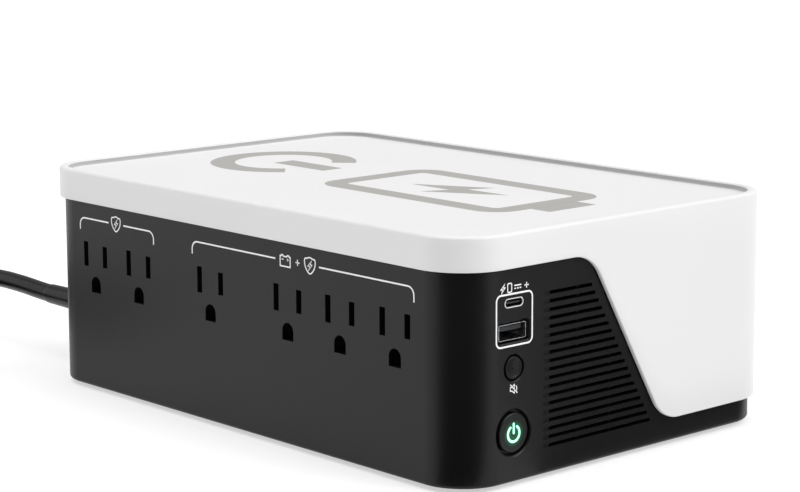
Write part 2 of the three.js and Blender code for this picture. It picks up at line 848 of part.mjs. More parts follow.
const sinkY = [boardBack + sinkSetback, boardBack + sinkSetback + heatSinkSize[1]];
const sinkX = around(heatSinkMiddle, heatSinkSize[0]);
const sinkZ = [floorTop + 4, floorTop + 4 + heatSinkSize[2]];

function heatSink() {
  const fins = [];
  for (let i = 0; i < finCount; i++) {
    const x = sinkX[0] + (i * (heatSinkSize[0] - finThickness)) / (finCount - 1);
    fins.push(block([x, x + finThickness], sinkY, sinkZ));
  }
  return join(block(sinkX, [sinkY[0], sinkY[0] + sinkBase], sinkZ), ...fins);
}

// A power transistor bolted flat to the heat sink, its three legs turned down to the board.
function transistor(i) {
  const x = heatSinkMiddle + (i - 1) * transistorPitch;
  const y = [boardBack + gap, sinkY[0] - gap];
  const bottom = caseBottom + transistorRise;
  const top = bottom + transistorHeight;
  const [legWidth, legThickness, legLength] = legSize;
  const legs = [-legPitch, 0, legPitch].map((side) =>
    block(around(x + side, legWidth), around(y[0] + 2, legThickness), [bottom - legLength, bottom + 1]),
  );
  const [thickness, rise] = transistorTab;
  const tab = block(around(x, transistorWidth), [y[1] - thickness, y[1]], [top - 1, top + rise]);
  return join(block(around(x, transistorWidth), y, [bottom, top]), tab, ...legs);
}

const coreX = around(transformerMiddle[0], transformerSize[0]);
const coreY = around(transformerMiddle[1], transformerSize[1]);
const coreZ = [floorTop + transformerLift, floorTop + transformerLift + transformerSize[2]];
const limb = transformerSize[0] / 6; // an E-I lamination is six limbs wide
const windows = mirrored.map((side) => around(transformerMiddle[0] + side * 1.5 * limb, limb));
const windowZ = grow(coreZ, -limb);

function transformerCore() {
  return cut(block(coreX, coreY, coreZ), ...windows.map((x) => block(x, grow(coreY, 1), windowZ)));
}

function transformerWinding() {
  const x = [windows[0][0] + gap, windows[1][1] - gap];
  const z = grow(windowZ, -gap);
  return cut(
    block(x, grow(coreY, windingOverhang), z),
    block(around(transformerMiddle[0], 2 * limb + 2 * gap), grow(coreY, gap), grow(z, 1)),
  );
}

// A steel strap round the core, with its ends turned in under it.
function transformerStrap() {
  const outer = [grow(coreX, gap + strapThickness), [floorTop + gap, coreZ[1] + gap + strapThickness]];
  const inner = [grow(coreX, gap), [floorTop + gap + strapThickness, coreZ[1] + gap]];
  const y = around(transformerMiddle[1], strapDepth);
  const opening = block(grow(coreX, -10), grow(y, 1), [floorTop, floorTop + transformerLift - gap]);
  return cut(block(outer[0], y, outer[1]), block(inner[0], grow(y, 1), inner[1]), opening);
}

// ---------- circuit breaker ----------

const breakerY = -sideY + breakerAt[0];
const breakerZ = caseBottom + breakerAt[1];

function breakerHousing() {
  const [depth, width, height] = breakerBody;
  const front = -innerX + gap;
  const bore = rodX(breakerButtonRadius + gap, [-endX - 1, front + depth - 3], breakerY, breakerZ, 24);
  const collar = rodX(breakerHole - gap, [-endX - 0.4, front + 1], breakerY, breakerZ, 24);
  const box = block([front, front + depth], around(breakerY, width), around(breakerZ, height));
  return cut(join(box, collar), bore);
}

function breakerButton() {
  const back = -innerX + gap + breakerBody[0] - 3 - gap - breakerTravel;
  return rodX(breakerButtonRadius, [-endX - breakerButtonProud, back], breakerY, breakerZ, 24);
}

// ---------- cord ----------

const cordRadius = cordDiameter / 2;
const coilBottom = tieThickness + gap;
const turnRadius = coilTurnRadii[coilTurnRadii.length - 1];
const coilOuter = turnRadius + cordRadius;
const coilInner = coilTurnRadii[0] - cordRadius;
const coilTop = coilBottom + coilLayers * cordDiameter;
const coilMiddle = [-endX - bootLength - coilSetback, cordY - turnRadius];

// How far a straight stretch ends from where it would touch the outer turn, clear of the coil.
const coilApproach = Math.sqrt(coilOuter ** 2 - turnRadius ** 2) + cordDiameter + 3 * gap;
const plugMiddle = [coilMiddle[0] - turnRadius, plugBody[2] / 2 + plugLift];
const plugFront = coilMiddle[1] - plugSetback;

// The tail and the plug are drawn heading forward along the coil's left side, then turned a
// quarter about the coil's middle, so that they lie along its front and head for the case.
function alongCoilFront(piece) {
  const centred = piece.translate([-coilMiddle[0], -coilMiddle[1], 0]);
  return centred.rotate([0, 0, 90]).translate([coilMiddle[0], coilMiddle[1], 0]);
}

function strainRelief() {
  const profile = [
    [0, 0],
    [bootRadii[1], 0],
    [bootRadii[0], bootLength - bootCollar],
    [bootHole + 1.4, bootLength - bootCollar],
    [bootHole + 1.4, bootLength - gap],
    [bootHole - gap, bootLength - gap],
    [bootHole - gap, bootLength + wall + gap],
    [bootHole + 1.6, bootLength + wall + gap],
    [bootHole + 1.6, bootLength + wall + gap + 2],
    [0, bootLength + wall + gap + 2],
  ];
  const turned = new THREE.LatheGeometry(profile.map((p) => new THREE.Vector2(...p)), 24);
  const boot = solid(turned.rotateZ(-Math.PI / 2).translate(-endX - bootLength, cordY, cordZ));
  const taper = (bootRadii[0] - bootRadii[1]) / (bootLength - bootCollar);
  const rings = bootRings.map((back) => {
    const x = around(-endX - bootLength + back, bootRingWidth);
    const core = bootRadii[1] + back * taper - bootRingDepth;
    return cut(rodX(bootHole + 3, x, cordY, cordZ), rodX(core, grow(x, 1), cordY, cordZ));
  });
  return cut(boot, ...rings);
}

// The stretch from the strain relief's tip until it touches the coil: each point's distance
// beyond the tip and its height above the surface.
const cordRun = [
  [0.3, 24.4],
  [8.5, 24.7],
  [17.5, 25.2],
  [26.5, 25.5],
  [35.5, 25.6],
  [43.5, 25.3],
  [51.5, 24.4],
  [59.5, 22.8],
  [68.5, 20.6],
  [coilSetback - coilApproach, 18.2],
].map(([beyond, z]) => [-endX - bootLength - beyond, cordY, z]);

// The stretch from the coil's bottom turn to the plug: each point's distance in front of the
// coil's middle and its height above the surface.
const tailRun = [
  [coilApproach, 4.9],
  [33.8, 5.3],
  [39.8, 6.6],
  [45.8, 8.7],
  [51.8, 10.7],
  [58.5, 12],
].map(([ahead, z]) => [coilMiddle[0] - turnRadius, coilMiddle[1] - ahead, z]);

function cordCoil() {
  const round = 2.5;
  const half = roundedRectangle(coilOuter - coilInner, coilTop - coilBottom, round);
  const outline = half.getPoints(1).slice(0, -1);
  const middle = [(coilOuter + coilInner) / 2, (coilTop + coilBottom) / 2];
  const profile = outline.map((p) => new THREE.Vector2(p.x + middle[0], p.y + middle[1]));
  profile.push(profile[0].clone());
  const ring = new THREE.LatheGeometry(profile, 36).rotateX(Math.PI / 2);
  return solid(ring.translate(coilMiddle[0], coilMiddle[1], 0));
}

// A strap round the coil's turns, on the side away from the case.
function cordTie() {
  const slack = tieWidth ** 2 / (8 * coilInner) + gap;
  const inner = [coilInner - slack, coilOuter + gap];
  const loop = cut(
    block(grow(inner, tieThickness), around(0, tieWidth), [0, coilTop + gap + tieThickness]),
    block(inner, around(0, tieWidth + 2), [tieThickness, coilTop + gap]),
  );
  return loop.rotate([0, 0, -120]).translate([coilMiddle[0], coilMiddle[1], 0]);
}

// Two blades one above the other and the ground pin beside them, as the plug lies on its side.
const plugPlaces = {
  line: [plugMiddle[0] - 4, plugMiddle[1] - slotSpacing / 2],
  neutral: [plugMiddle[0] - 4, plugMiddle[1] + slotSpacing / 2],
  ground: [plugMiddle[0] - 4 + groundDrop, plugMiddle[1]],
};

function plugBlade([x, z], extra = 0) {
  const [width, length, thickness] = plugBladeSize;
  const y = [plugFront - length, plugFront + plugSocket - gap];
  return block(around(x, width + 2 * extra), grow(y, extra), around(z, thickness + 2 * extra));
}

function plugPin([x, z], extra = 0) {
  const y = [plugFront - plugPinLength, plugFront + plugSocket - gap];
  return rodY(plugPinRadius + extra, grow(y, extra), x, z, 20);
}

function plugHousing() {
  const [width, length, height] = plugBody;
  const body = prismY(roundedRectangle(width, height, 6, ...plugMiddle), [plugFront, plugFront + length], 2);
  const neck = rodY(6.5, [plugFront + length - 1, plugFront + length + plugNeck], ...plugMiddle, 20);
  return cut(
    join(body, neck),
    plugBlade(plugPlaces.line, gap),
    plugBlade(plugPlaces.neutral, gap),
    plugPin(plugPlaces.ground, gap),
  );
}

// ---------- the assembly ----------

const cornerNames = ["front_left", "rear_left", "front_right", "rear_right"];

add("lower_case", lowerCase(), blackPlastic());
add("top_cover", topCover(), whitePlastic());
add("battery_door", batteryDoor(), blackPlastic());
corners.forEach((corner, i) => {
  add(`foot_${cornerNames[i]}`, foot(corner), rubber());
  add(`case_screw_${cornerNames[i]}`, caseScrew(corner), steel());
});

add("outlet_carrier_surge", carrier(surgeOutlets), blackPlastic());
add("outlet_carrier_backup", carrier(backupOutlets), blackPlastic());
add("surge_line_bus", lineBus(surgeOutlets), brass());
add("backup_line_bus", lineBus(backupOutlets), brass());
add("neutral_bus", neutralBus(), brass());
add("ground_bus", groundBus(), brass());

add("power_button", powerButton(), blackPlastic());
add("power_symbol_lens", powerSymbolLens(), greenLens());
add("mute_button", muteButton(), blackPlastic());
add("power_switch", keySwitch(powerZ), greyPlastic());
add("mute_switch", keySwitch(muteZ), greyPlastic());
add("control_board", controlBoard(), circuitBoard());

add("usb_board", usbBoard(), circuitBoard());
add("usb_a_shell", usbAShellBody(), steel());
add("usb_a_tongue", usbATongue(), greyPlastic());
add("usb_c_shell", usbCShellBody(), steel());
add("usb_c_tongue", usbCTongue(), greyPlastic());

add("battery_case", batteryCase(), greyPlastic());
add("battery_lid", batteryLidBody(), greyPlastic());
add("battery_cells", batteryCells(), laminations());
["negative", "positive"].forEach((pole, i) => {
  const colour = pole === "positive" ? redPlastic() : blackPlastic();
  add(`battery_terminal_${pole}`, terminal(terminalPlaces[i]), steel());
  add(`battery_lead_${pole}`, batteryLead(terminalPlaces[i]), colour);
});

add("main_board", mainBoard(), circuitBoard());
relayPlaces.forEach((x, i) => add(`relay_${i + 1}`, relay(x), blueSleeve()));
add("capacitor", capacitor(), blueSleeve());
add("buzzer", buzzer(), blackPlastic());
add("heat_sink", heatSink(), aluminium());
[0, 1, 2].forEach((i) => add(`power_transistor_${i + 1}`, transistor(i), greyPlastic()));
add("transformer_core", transformerCore(), laminations());
add("transformer_winding", transformerWinding(), copper());
add("transformer_strap", transformerStrap(), steel());

add("breaker_housing", breakerHousing(), blackPlastic());
add("breaker_button", breakerButton(), blackPlastic());

add("strain_relief", strainRelief(), rubber());
add("power_cord", tube(cordRun, cordRadius, 12, 10), cordPlastic());
add("cord_coil", cordCoil(), cordPlastic());
add("cord_tail", alongCoilFront(tube(tailRun, cordRadius, 6, 10)), cordPlastic());
add("cord_tie", cordTie(), rubber());
add("plug_body", alongCoilFront(plugHousing()), cordPlastic());
add("plug_line_blade", alongCoilFront(plugBlade(plugPlaces.line)), brass());
add("plug_neutral_blade", alongCoilFront(plugBlade(plugPlaces.neutral)), brass());
add("plug_ground_pin", alongCoilFront(plugPin(plugPlaces.ground)), brass());

export default part;
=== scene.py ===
"""Looks of a desktop uninterruptible power supply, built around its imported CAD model.

Shapes are written in millimetres and turned to metres as each mesh is made.
-Y is the outlet side, +X the end with the buttons, -X the end that the cord leaves.
"""

import math

import bmesh
import bpy
from mathutils import Matrix, Vector


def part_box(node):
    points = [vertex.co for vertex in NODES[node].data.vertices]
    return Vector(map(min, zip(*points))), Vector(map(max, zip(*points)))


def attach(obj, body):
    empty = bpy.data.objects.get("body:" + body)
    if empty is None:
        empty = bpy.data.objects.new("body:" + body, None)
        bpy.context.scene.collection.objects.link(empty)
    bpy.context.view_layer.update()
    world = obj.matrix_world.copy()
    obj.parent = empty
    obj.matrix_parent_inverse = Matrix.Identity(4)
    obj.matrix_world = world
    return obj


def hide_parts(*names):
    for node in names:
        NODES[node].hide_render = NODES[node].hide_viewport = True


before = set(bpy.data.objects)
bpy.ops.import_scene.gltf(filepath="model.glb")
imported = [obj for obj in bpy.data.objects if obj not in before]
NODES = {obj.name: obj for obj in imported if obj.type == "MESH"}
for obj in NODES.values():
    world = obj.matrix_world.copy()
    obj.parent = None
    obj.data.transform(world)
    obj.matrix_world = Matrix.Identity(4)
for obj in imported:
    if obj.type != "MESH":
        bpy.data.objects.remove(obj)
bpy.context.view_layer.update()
MM = 0.001

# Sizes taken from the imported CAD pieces, in millimetres.
case_low, case_high = (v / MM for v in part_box("lower_case"))
cover_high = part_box("top_cover")[1] / MM
END_X = case_high.x
SIDE_Y = case_high.y
CASE_BOTTOM = case_low.z
CASE_TOP = case_high.z
COVER_GROWTH = cover_high.x - END_X
COVER_TOP = cover_high.z

CASE_RADIUS = 18.0
FLAT_X = END_X - CASE_RADIUS
FLAT_Y = SIDE_Y - CASE_RADIUS
WALL = 2.5
COVER_WALL = 1.8
SKIRT_LOW = 10.6  # the cover's lower edge; its screw posts reach lower
GAP = 0.3
SCREW_INSET = (13, 11)  # from the case's ends and sides
FOOT_INSET = (11.5, 24)


# ---------- camera ----------

CAMERA_PLACE = (666.16, -601.35, 222.31)
CAMERA_TURN = 47.813
CAMERA_DROP = 9.093
CAMERA_ROLL = -0.216
LENS = 105.41
SHIFT_Y = -0.0575


def direction(azimuth, elevation):
    """Unit vector at the given angles in degrees. Azimuth 0 points to -Y and 90 to +X."""
    turn, rise = math.radians(azimuth), math.radians(elevation)
    across = math.cos(rise)
    return Vector((math.sin(turn) * across, -math.cos(turn) * across, math.sin(rise)))


def add_object(name, data):
    obj = bpy.data.objects.new(name, data)
    bpy.context.scene.collection.objects.link(obj)
    return obj


def make_camera():
    roll = math.radians(CAMERA_ROLL)
    back = direction(CAMERA_TURN, CAMERA_DROP)
    right = direction(CAMERA_TURN + 90, 0)
    up = back.cross(right)
    across = math.cos(roll) * right + math.sin(roll) * up
    upward = -math.sin(roll) * right + math.cos(roll) * up
    data = bpy.data.cameras.new("camera")
    data.lens = LENS
    data.sensor_width = 36
    data.shift_y = SHIFT_Y
    data.clip_start = 0.05
    data.clip_end = 50
    camera = add_object("camera", data)
    axes = Matrix((across, upward, back)).transposed().to_4x4()
    camera.matrix_world = Matrix.Translation(Vector(CAMERA_PLACE) * MM) @ axes
    bpy.context.scene.camera = camera


make_camera()


# ---------- material helpers ----------


def set_inputs(node, values):
    for name, value in values.items():
        node.inputs[name].default_value = value
    return node


def new_material(name, color, roughness, metallic=0.0, specular=0.5):
    material = bpy.data.materials.new(name)
    material.use_nodes = True
    shader = material.node_tree.nodes["Principled BSDF"]
    values = {"Base Color": (*color, 1), "Roughness": roughness}
    values |= {"Metallic": metallic, "Specular IOR Level": specular}
    return material, set_inputs(shader, values)


def add_node(tree, kind, values=None):
    """A new shader node with the given input values."""
    return set_inputs(tree.nodes.new(kind), values or {})


def noise(material, scale, detail=3.0, rough=0.55, stretch=None):
    """Noise in the piece's own space, scale in features per metre."""
    tree = material.node_tree
    out = add_node(tree, "ShaderNodeTexCoord").outputs["Object"]
    if stretch:
        mapping = add_node(tree, "ShaderNodeMapping", {"Scale": stretch})
        tree.links.new(out, mapping.inputs["Vector"])
        out = mapping.outputs["Vector"]
    settings = {"Scale": scale, "Detail": detail, "Roughness": rough}
    texture = add_node(tree, "ShaderNodeTexNoise", settings)
    tree.links.new(out, texture.inputs["Vector"])
    return texture.outputs["Fac"]


def remap(material, value, low, high):
    """Stretches the middle of a noise, where most of it lies, from low to high."""
    settings = {"From Min": 0.3, "From Max": 0.7, "To Min": low, "To Max": high}
    node = add_node(material.node_tree, "ShaderNodeMapRange", settings)
    material.node_tree.links.new(value, node.inputs["Value"])
    return node.outputs["Result"]


def tint(material, shader, value, dark, light, socket="Base Color"):
    """A colour between two shades, by a 0 to 1 value."""
    tree = material.node_tree
    mix = tree.nodes.new("ShaderNodeMix")
    mix.data_type = "RGBA"
    set_inputs(mix, {"A": (*dark, 1), "B": (*light, 1)})
    tree.links.new(remap(material, value, 0, 1), mix.inputs["Factor"])
    tree.links.new(mix.outputs["Result"], shader.inputs[socket])


def bump(material, shader, value, distance):
    tree = material.node_tree
    node = add_node(tree, "ShaderNodeBump", {"Strength": 1.0, "Distance": distance})
    tree.links.new(value, node.inputs["Height"])
    tree.links.new(node.outputs["Normal"], shader.inputs["Normal"])


def moulded(name, color, roughness, grain=2600, depth=1.2e-5, specular=0.5, vary=0.06):
    """Moulded plastic: a fine spark-eroded grain, with slow changes of shade and gloss."""
    material, shader = new_material(name, color, roughness, 0, specular)
    slow = noise(material, 14, 2)
    dark = tuple(c * (1 - vary) for c in color)
    light = tuple(min(1, c * (1 + vary)) for c in color)
    tint(material, shader, slow, dark, light)
    rough = remap(material, noise(material, grain * 0.4, 2), roughness - 0.04, roughness + 0.05)
    material.node_tree.links.new(rough, shader.inputs["Roughness"])
    bump(material, shader, noise(material, grain, 4, 0.65), depth)
    return material


def metal(name, color, roughness, stretch=(1, 1, 1), grain=900, depth=4e-6):
    """Drawn or stamped metal with fine lines along one direction."""
    material, shader = new_material(name, color, roughness, 1.0)
    lines = noise(material, grain, 4, 0.6, stretch)
    tint(material, shader, lines, tuple(c * 0.88 for c in color), color)
    rough = remap(material, lines, roughness - 0.06, roughness + 0.08)
    material.node_tree.links.new(rough, shader.inputs["Roughness"])
    bump(material, shader, lines, depth)
    return material


def printed(name, color):
    """Screen-printed ink: a thin matt layer with slightly uneven cover."""
    material, shader = new_material(name, color, 0.55)
    tint(material, shader, noise(material, 1800, 3), tuple(c * 0.93 for c in color), color)
    bump(material, shader, noise(material, 3000, 2), 3e-6)
    return material


CASE_BLACK = moulded("case_black", (0.0036, 0.0036, 0.0038), 0.38, specular=0.28)
COVER_WHITE = moulded("cover_white", (0.715, 0.706, 0.709), 0.42, 2200, 8e-6, 0.3, 0.01)
# Darker grey for the wall round the cover's recess: painted shade, not a colour of the cover.
COVER_PAINTED_RECESS_SHADE = moulded("cover_painted_recess_shade", (0.42, 0.415, 0.415), 0.5, 2200, 8e-6, 0.3, 0.01)
BUTTON_BLACK = moulded("button_black", (0.005, 0.005, 0.0054), 0.4, 3000, 5e-6, 0.24)
CARRIER_BLACK = moulded("carrier_black", (0.008, 0.008, 0.009), 0.6)
RUBBER = moulded("foot_rubber", (0.018, 0.018, 0.018), 0.8, 1400, 3e-5, 0.3)
CORD_BLACK = moulded("cord_black", (0.003, 0.003, 0.0033), 0.3, 700, 6e-6, 0.22)
GREY_PLASTIC = moulded("component_grey", (0.12, 0.125, 0.13), 0.5)
BATTERY_GREY = moulded("battery_grey", (0.09, 0.095, 0.1), 0.55, 1500, 2e-5)
LEAD_GREY = metal("lead_plates", (0.25, 0.26, 0.28), 0.6, (1, 1, 12))
STEEL = metal("nickel_steel", (0.72, 0.73, 0.75), 0.24, (14, 1, 1))
PORT_STEEL = metal("port_shell_steel", (0.8, 0.81, 0.83), 0.2, (10, 1, 1))
# Bright plain material for the USB-C mouth's lip: a painted highlight on the metal edge.
PORT_RIM_PAINTED_HIGHLIGHT = moulded("port_rim_painted_highlight", (0.75, 0.75, 0.76), 0.35, 1500, 4e-6)
# Black of the port tongues, also used as painted shade on the faces inside the USB-C mouth.
PORT_BLACK_AND_PAINTED_SHADE = moulded("port_tongue_black_and_painted_shade", (0.02, 0.021, 0.022), 0.3, 1500, 4e-6)
BRASS = metal("contact_brass", (0.72, 0.56, 0.28), 0.3, (1, 8, 1))
ALUMINIUM = metal("black_anodised_aluminium", (0.022, 0.022, 0.024), 0.5, (1, 1, 14))
CORE = metal("core_laminations", (0.12, 0.125, 0.135), 0.5, (1, 40, 1), 300, 4e-5)
COPPER = metal("winding_copper", (0.62, 0.25, 0.12), 0.34, (1, 30, 1), 220, 8e-5)
BLUE_SLEEVE = moulded("capacitor_blue", (0.02, 0.045, 0.13), 0.32, 900, 4e-6)
RED_WIRE = moulded("red_wire", (0.35, 0.02, 0.015), 0.4, 900, 5e-6)
BLACK_WIRE = moulded("black_wire", (0.012, 0.012, 0.013), 0.4, 900, 5e-6)
WHITE_INK = printed("white_ink", (0.86, 0.86, 0.86))
GREY_INK = printed("grey_ink", (0.36, 0.35, 0.335))


def make_board_material():
    """Green board with a regular net of tracks."""
    material, shader = new_material("circuit_board", (0.01, 0.09, 0.035), 0.35)
    tree = material.node_tree
    place = add_node(tree, "ShaderNodeTexCoord")
    greens = {
        "Color1": (0.01, 0.1, 0.04, 1),
        "Color2": (0.006, 0.07, 0.028, 1),
        "Mortar": (0.03, 0.2, 0.08, 1),
    }
    tracks = add_node(tree, "ShaderNodeTexBrick", {"Scale": 160, "Mortar Size": 0.03, **greens})
    laid = add_node(tree, "ShaderNodeMapping", {"Rotation": (math.radians(90), 0, 0)})
    tree.links.new(place.outputs["Object"], laid.inputs["Vector"])
    tree.links.new(laid.outputs["Vector"], tracks.inputs["Vector"])
    tree.links.new(tracks.outputs["Color"], shader.inputs["Base Color"])
    bump(material, shader, tracks.outputs["Fac"], 3e-5)
    return material


def make_tie_material():
    """Looped fabric of a hook-and-loop strap."""
    material, shader = new_material("tie_fabric", (0.014, 0.014, 0.015), 0.85)
    shader.inputs["Sheen Weight"].default_value = 0.4
    tree = material.node_tree
    place = add_node(tree, "ShaderNodeTexCoord")
    weave = add_node(tree, "ShaderNodeTexVoronoi", {"Scale": 1300})
    tree.links.new(place.outputs["Object"], weave.inputs["Vector"])
    loops = weave.outputs["Distance"]
    tint(material, shader, loops, (0.022, 0.022, 0.024), (0.009, 0.009, 0.01))
    bump(material, shader, loops, 1.5e-4)
    return material


BOARD_GREEN = make_board_material()
TIE_FABRIC = make_tie_material()


# ---------- mesh helpers ----------


def finish_mesh(obj, sharp):
    """Faces turned outwards and smooth, with edges over the given angle kept sharp."""
    work = bmesh.new()
    work.from_mesh(obj.data)
    bmesh.ops.recalc_face_normals(work, faces=work.faces)
    work.to_mesh(obj.data)
    work.free()
    for face in obj.data.polygons:
        face.use_smooth = True
    obj.data.set_sharp_from_angle(angle=math.radians(sharp))


def mesh_object(name, verts, faces):
    mesh = bpy.data.meshes.new(name)
    mesh.from_pydata([tuple(c * MM for c in v) for v in verts], [], faces)
    return add_object(name, mesh)


def new_piece(name, verts, faces, material, slot, body="root", replaces=(), sharp=35):
    obj = mesh_object(name, verts, faces)
    obj.data.materials.append(material)
    finish_mesh(obj, sharp)
    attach(obj, body)
    if replaces:
        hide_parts(*replaces)
    return obj


def loft(rings, closed=False):
    """Verts and faces of a skin through rings of equally many points.

    It has a cap on its first and last ring or, if closed, goes on from the last to the first.
    """
    count = len(rings[0])
    verts = [point for ring in rings for point in ring]
    faces = []
    for k in range(len(rings) if closed else len(rings) - 1):
        a, b = k * count, (k + 1) % len(rings) * count
        for i in range(count):
            j = (i + 1) % count
            faces.append((a + i, a + j, b + j, b + i))
    if not closed:
        faces += [tuple(range(count)), tuple(range(len(verts) - count, len(verts)))]
    return verts, faces


def turned(profile, place, segments=64):
    """A turned piece whose axis runs along X through place.

    The profile is a list of (radius, x offset) that starts and ends on the axis.
    """
    rings = []
    for radius, along in profile:
        size = max(radius, 0.001)
        turns = (2 * math.pi * i / segments for i in range(segments))
        rings.append(
            [
                (place[0] + along, place[1] + size * math.cos(t), place[2] + size * math.sin(t))
                for t in turns
            ]
        )
    return loft(rings)


def upright(profile, x, y, segments):
    """A turned piece whose axis is upright: the profile is a list of (radius, height)."""
    verts, faces = turned(profile, (0, 0, 0), segments)
    return [(x + v[1], y + v[2], v[0]) for v in verts], faces


def merged(*parts):
    verts, faces = [], []
    for more_verts, more_faces in parts:
        start = len(verts)
        verts += more_verts
        faces += [tuple(i + start for i in face) for face in more_faces]
    return verts, faces


def arc(x, y, radius, start, end, steps):
    """Points on an arc, angles in degrees."""
    points = []
    for i in range(steps + 1):
        angle = math.radians(start + (end - start) * i / steps)
        points.append((x + radius * math.cos(angle), y + radius * math.sin(angle)))
    return points


def rounded_outline(width, height, radius, x=0.0, y=0.0, steps=6, grow=0.0):
    """A rectangle with round corners, its middle at (x, y), moved outwards by grow."""
    w, h = width / 2 - radius, height / 2 - radius
    points = []
    for i, (cx, cy) in enumerate(((w, h), (-w, h), (-w, -h), (w, -h))):
        points += arc(x + cx, y + cy, radius + grow, 90 * i, 90 * (i + 1), steps)
    return points


def moved(points, x, y, size=1.0):
    return [(x + size * a, y + size * b) for a, b in points]


def box_mesh(x, y, z):
    verts = [(a, b, c) for a in x for b in y for c in z]
    faces = [(0, 1, 3, 2), (4, 6, 7, 5), (0, 4, 5, 1), (2, 3, 7, 6), (0, 2, 6, 4), (1, 5, 7, 3)]
    return verts, faces


def prism_y(outline, y0, y1):
    """An (x, z) outline made solid between two y values."""
    return loft([[(x, y, z) for x, z in outline] for y in (y0, y1)])


def prism_z(outline, z0, z1):
    """An (x, y) outline made solid between two z values."""
    return loft([[(x, y, z) for x, y in outline] for z in (z0, z1)])


def apply_modifiers(obj):
    graph = bpy.context.evaluated_depsgraph_get()
    made = bpy.data.meshes.new_from_object(obj.evaluated_get(graph), depsgraph=graph)
    obj.modifiers.clear()
    obj.data = made


def cut_away(obj, cutter_mesh):
    """Cuts a closed mesh out of a piece."""
    cutter = mesh_object("cutter", *cutter_mesh)
    finish_mesh(cutter, 30)
    modifier = obj.modifiers.new("cut", "BOOLEAN")
    modifier.operation = "DIFFERENCE"
    modifier.solver = "EXACT"
    modifier.object = cutter
    bpy.context.view_layer.update()
    apply_modifiers(obj)
    bpy.data.objects.remove(cutter)


def soften(obj, width):
    """Rounds sharp edges a little, as moulding does, and keeps flat faces shaded flat."""
    bevel = obj.modifiers.new("edge", "BEVEL")
    bevel.width = width * MM
    bevel.segments = 2
    bevel.limit_method = "ANGLE"
    bevel.angle_limit = math.radians(38)
    bevel.miter_outer = "MITER_ARC"
    apply_modifiers(obj)
    finish_mesh(obj, 50)
    weighted = obj.modifiers.new("weighted", "WEIGHTED_NORMAL")
    weighted.keep_sharp = True
    weighted.weight = 100
    apply_modifiers(obj)


# ---------- cord, first because its room is checked ----------

CORD_DIAMETER = 7.6
CORD_EXIT = (-120.5, -50.0, 24.4)
COIL_MIDDLE = (-272.0, -100.2)
COIL_RADIUS = 50.2
COIL_TOP_LAYER = 12.5
PLUG_Y = COIL_MIDDLE[1] - COIL_RADIUS
PLUG_Z = 12.3
PLUG_FRONT = COIL_MIDDLE[0] + 101.8
COIL_TURNS = 5.5
POINTS_A_TURN = 36


def ease(value):
    value = min(1, max(0, value))
    return value * value * (3 - 2 * value)


def coil_points():
    """The coil's points, from its rear side inwards, down a layer, and outwards to its front.

    Each turn keeps its radius for most of the way and steps by one diameter in one stretch, the
    same for all turns of a layer, so that neighbours stay a diameter apart.
    """
    points = []
    for i in range(round(COIL_TURNS * POINTS_A_TURN) + 1):
        travelled = 360 * i / POINTS_A_TURN
        inwards = ease((travelled - 260) / 90) + ease((travelled - 620) / 90)
        outwards = ease((travelled - 1260) / 90) + ease((travelled - 1620) / 90)
        radius = COIL_RADIUS - CORD_DIAMETER * (inwards - outwards)
        drop = CORD_DIAMETER * ease((travelled - 935) / 100)
        angle = math.radians(90 + travelled)
        x, y = radius * math.cos(angle), radius * math.sin(angle)
        points.append((COIL_MIDDLE[0] + x, COIL_MIDDLE[1] + y, COIL_TOP_LAYER - drop))
    return points


def cord_route():
    """From inside the strain relief down to the coil, round it, and up into the plug."""
    lead = [
        (-121.5, 24.4), (-135, 24.4), (-150, 24.4), (-165.8, 24.4), (-174, 24.7),
        (-183, 25.2), (-192, 25.5), (-201, 25.6), (-209, 25.3), (-217, 24.4),
        (-225, 22.8), (-234, 20.6), (-243.6, 18.2), (-253, 15.7), (-262.5, 13.5),
    ]
    ahead = [
        (13.8, 4.9), (28.4, 4.9), (33.6, 5.3), (39.6, 6.6),
        (45.6, 8.7), (51.6, 10.7), (58.5, 12), (65.8, 12.3),
    ]
    lead = [(x, CORD_EXIT[1], z) for x, z in lead]
    tail = [(COIL_MIDDLE[0] + x, PLUG_Y, z) for x, z in ahead]
    return lead + coil_points() + tail


def make_cord():
    """The whole cord as one curve, and its length in millimetres."""
    points = cord_route()
    data = bpy.data.curves.new("power_cord_whole", "CURVE")
    data.dimensions = "3D"
    data.bevel_depth = CORD_DIAMETER / 2 * MM
    data.bevel_resolution = 6
    data.resolution_u = 3
    data.use_fill_caps = True
    spline = data.splines.new("BEZIER")
    spline.bezier_points.add(len(points) - 1)
    for place, point in zip(points, spline.bezier_points):
        point.co = Vector(place) * MM
        point.handle_left_type = point.handle_right_type = "AUTO"
    obj = add_object("power_cord_whole", data)
    data.materials.append(CORD_BLACK)
    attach(obj, "root")
    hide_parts("power_cord", "cord_coil", "cord_tail")
    return obj, sum(math.dist(a, b) for a, b in zip(points, points[1:]))


cord, cord_length = make_cord()


def make_boot():
    """Tapered strain relief: a smooth sleeve with a collar against the case."""
    profile = [(0, 6.5), (6.4, 6.5), (6.4, 3.6), (5.6, 3.2), (5.6, 0.2)]
    profile += [(7.2, 0.0), (7.2, -0.5), (6.9, -1.2), (6.2, -1.9), (5.6, -2.6), (5.1, -3.6)]
    for i in range(13):
        share = i / 12
        along = -5.0 - 36.5 * share
        profile.append((4.95 - 0.55 * ease(share) - 0.2 * share, along))
    profile += [(4.15, -43.5), (4.1, -44.6), (3.95, -45.0), (0, -45.0)]
    verts, faces = turned(profile, CORD_EXIT, 48)
    return new_piece("boot", verts, faces, CORD_BLACK, "cord_sheath", replaces=["strain_relief"])


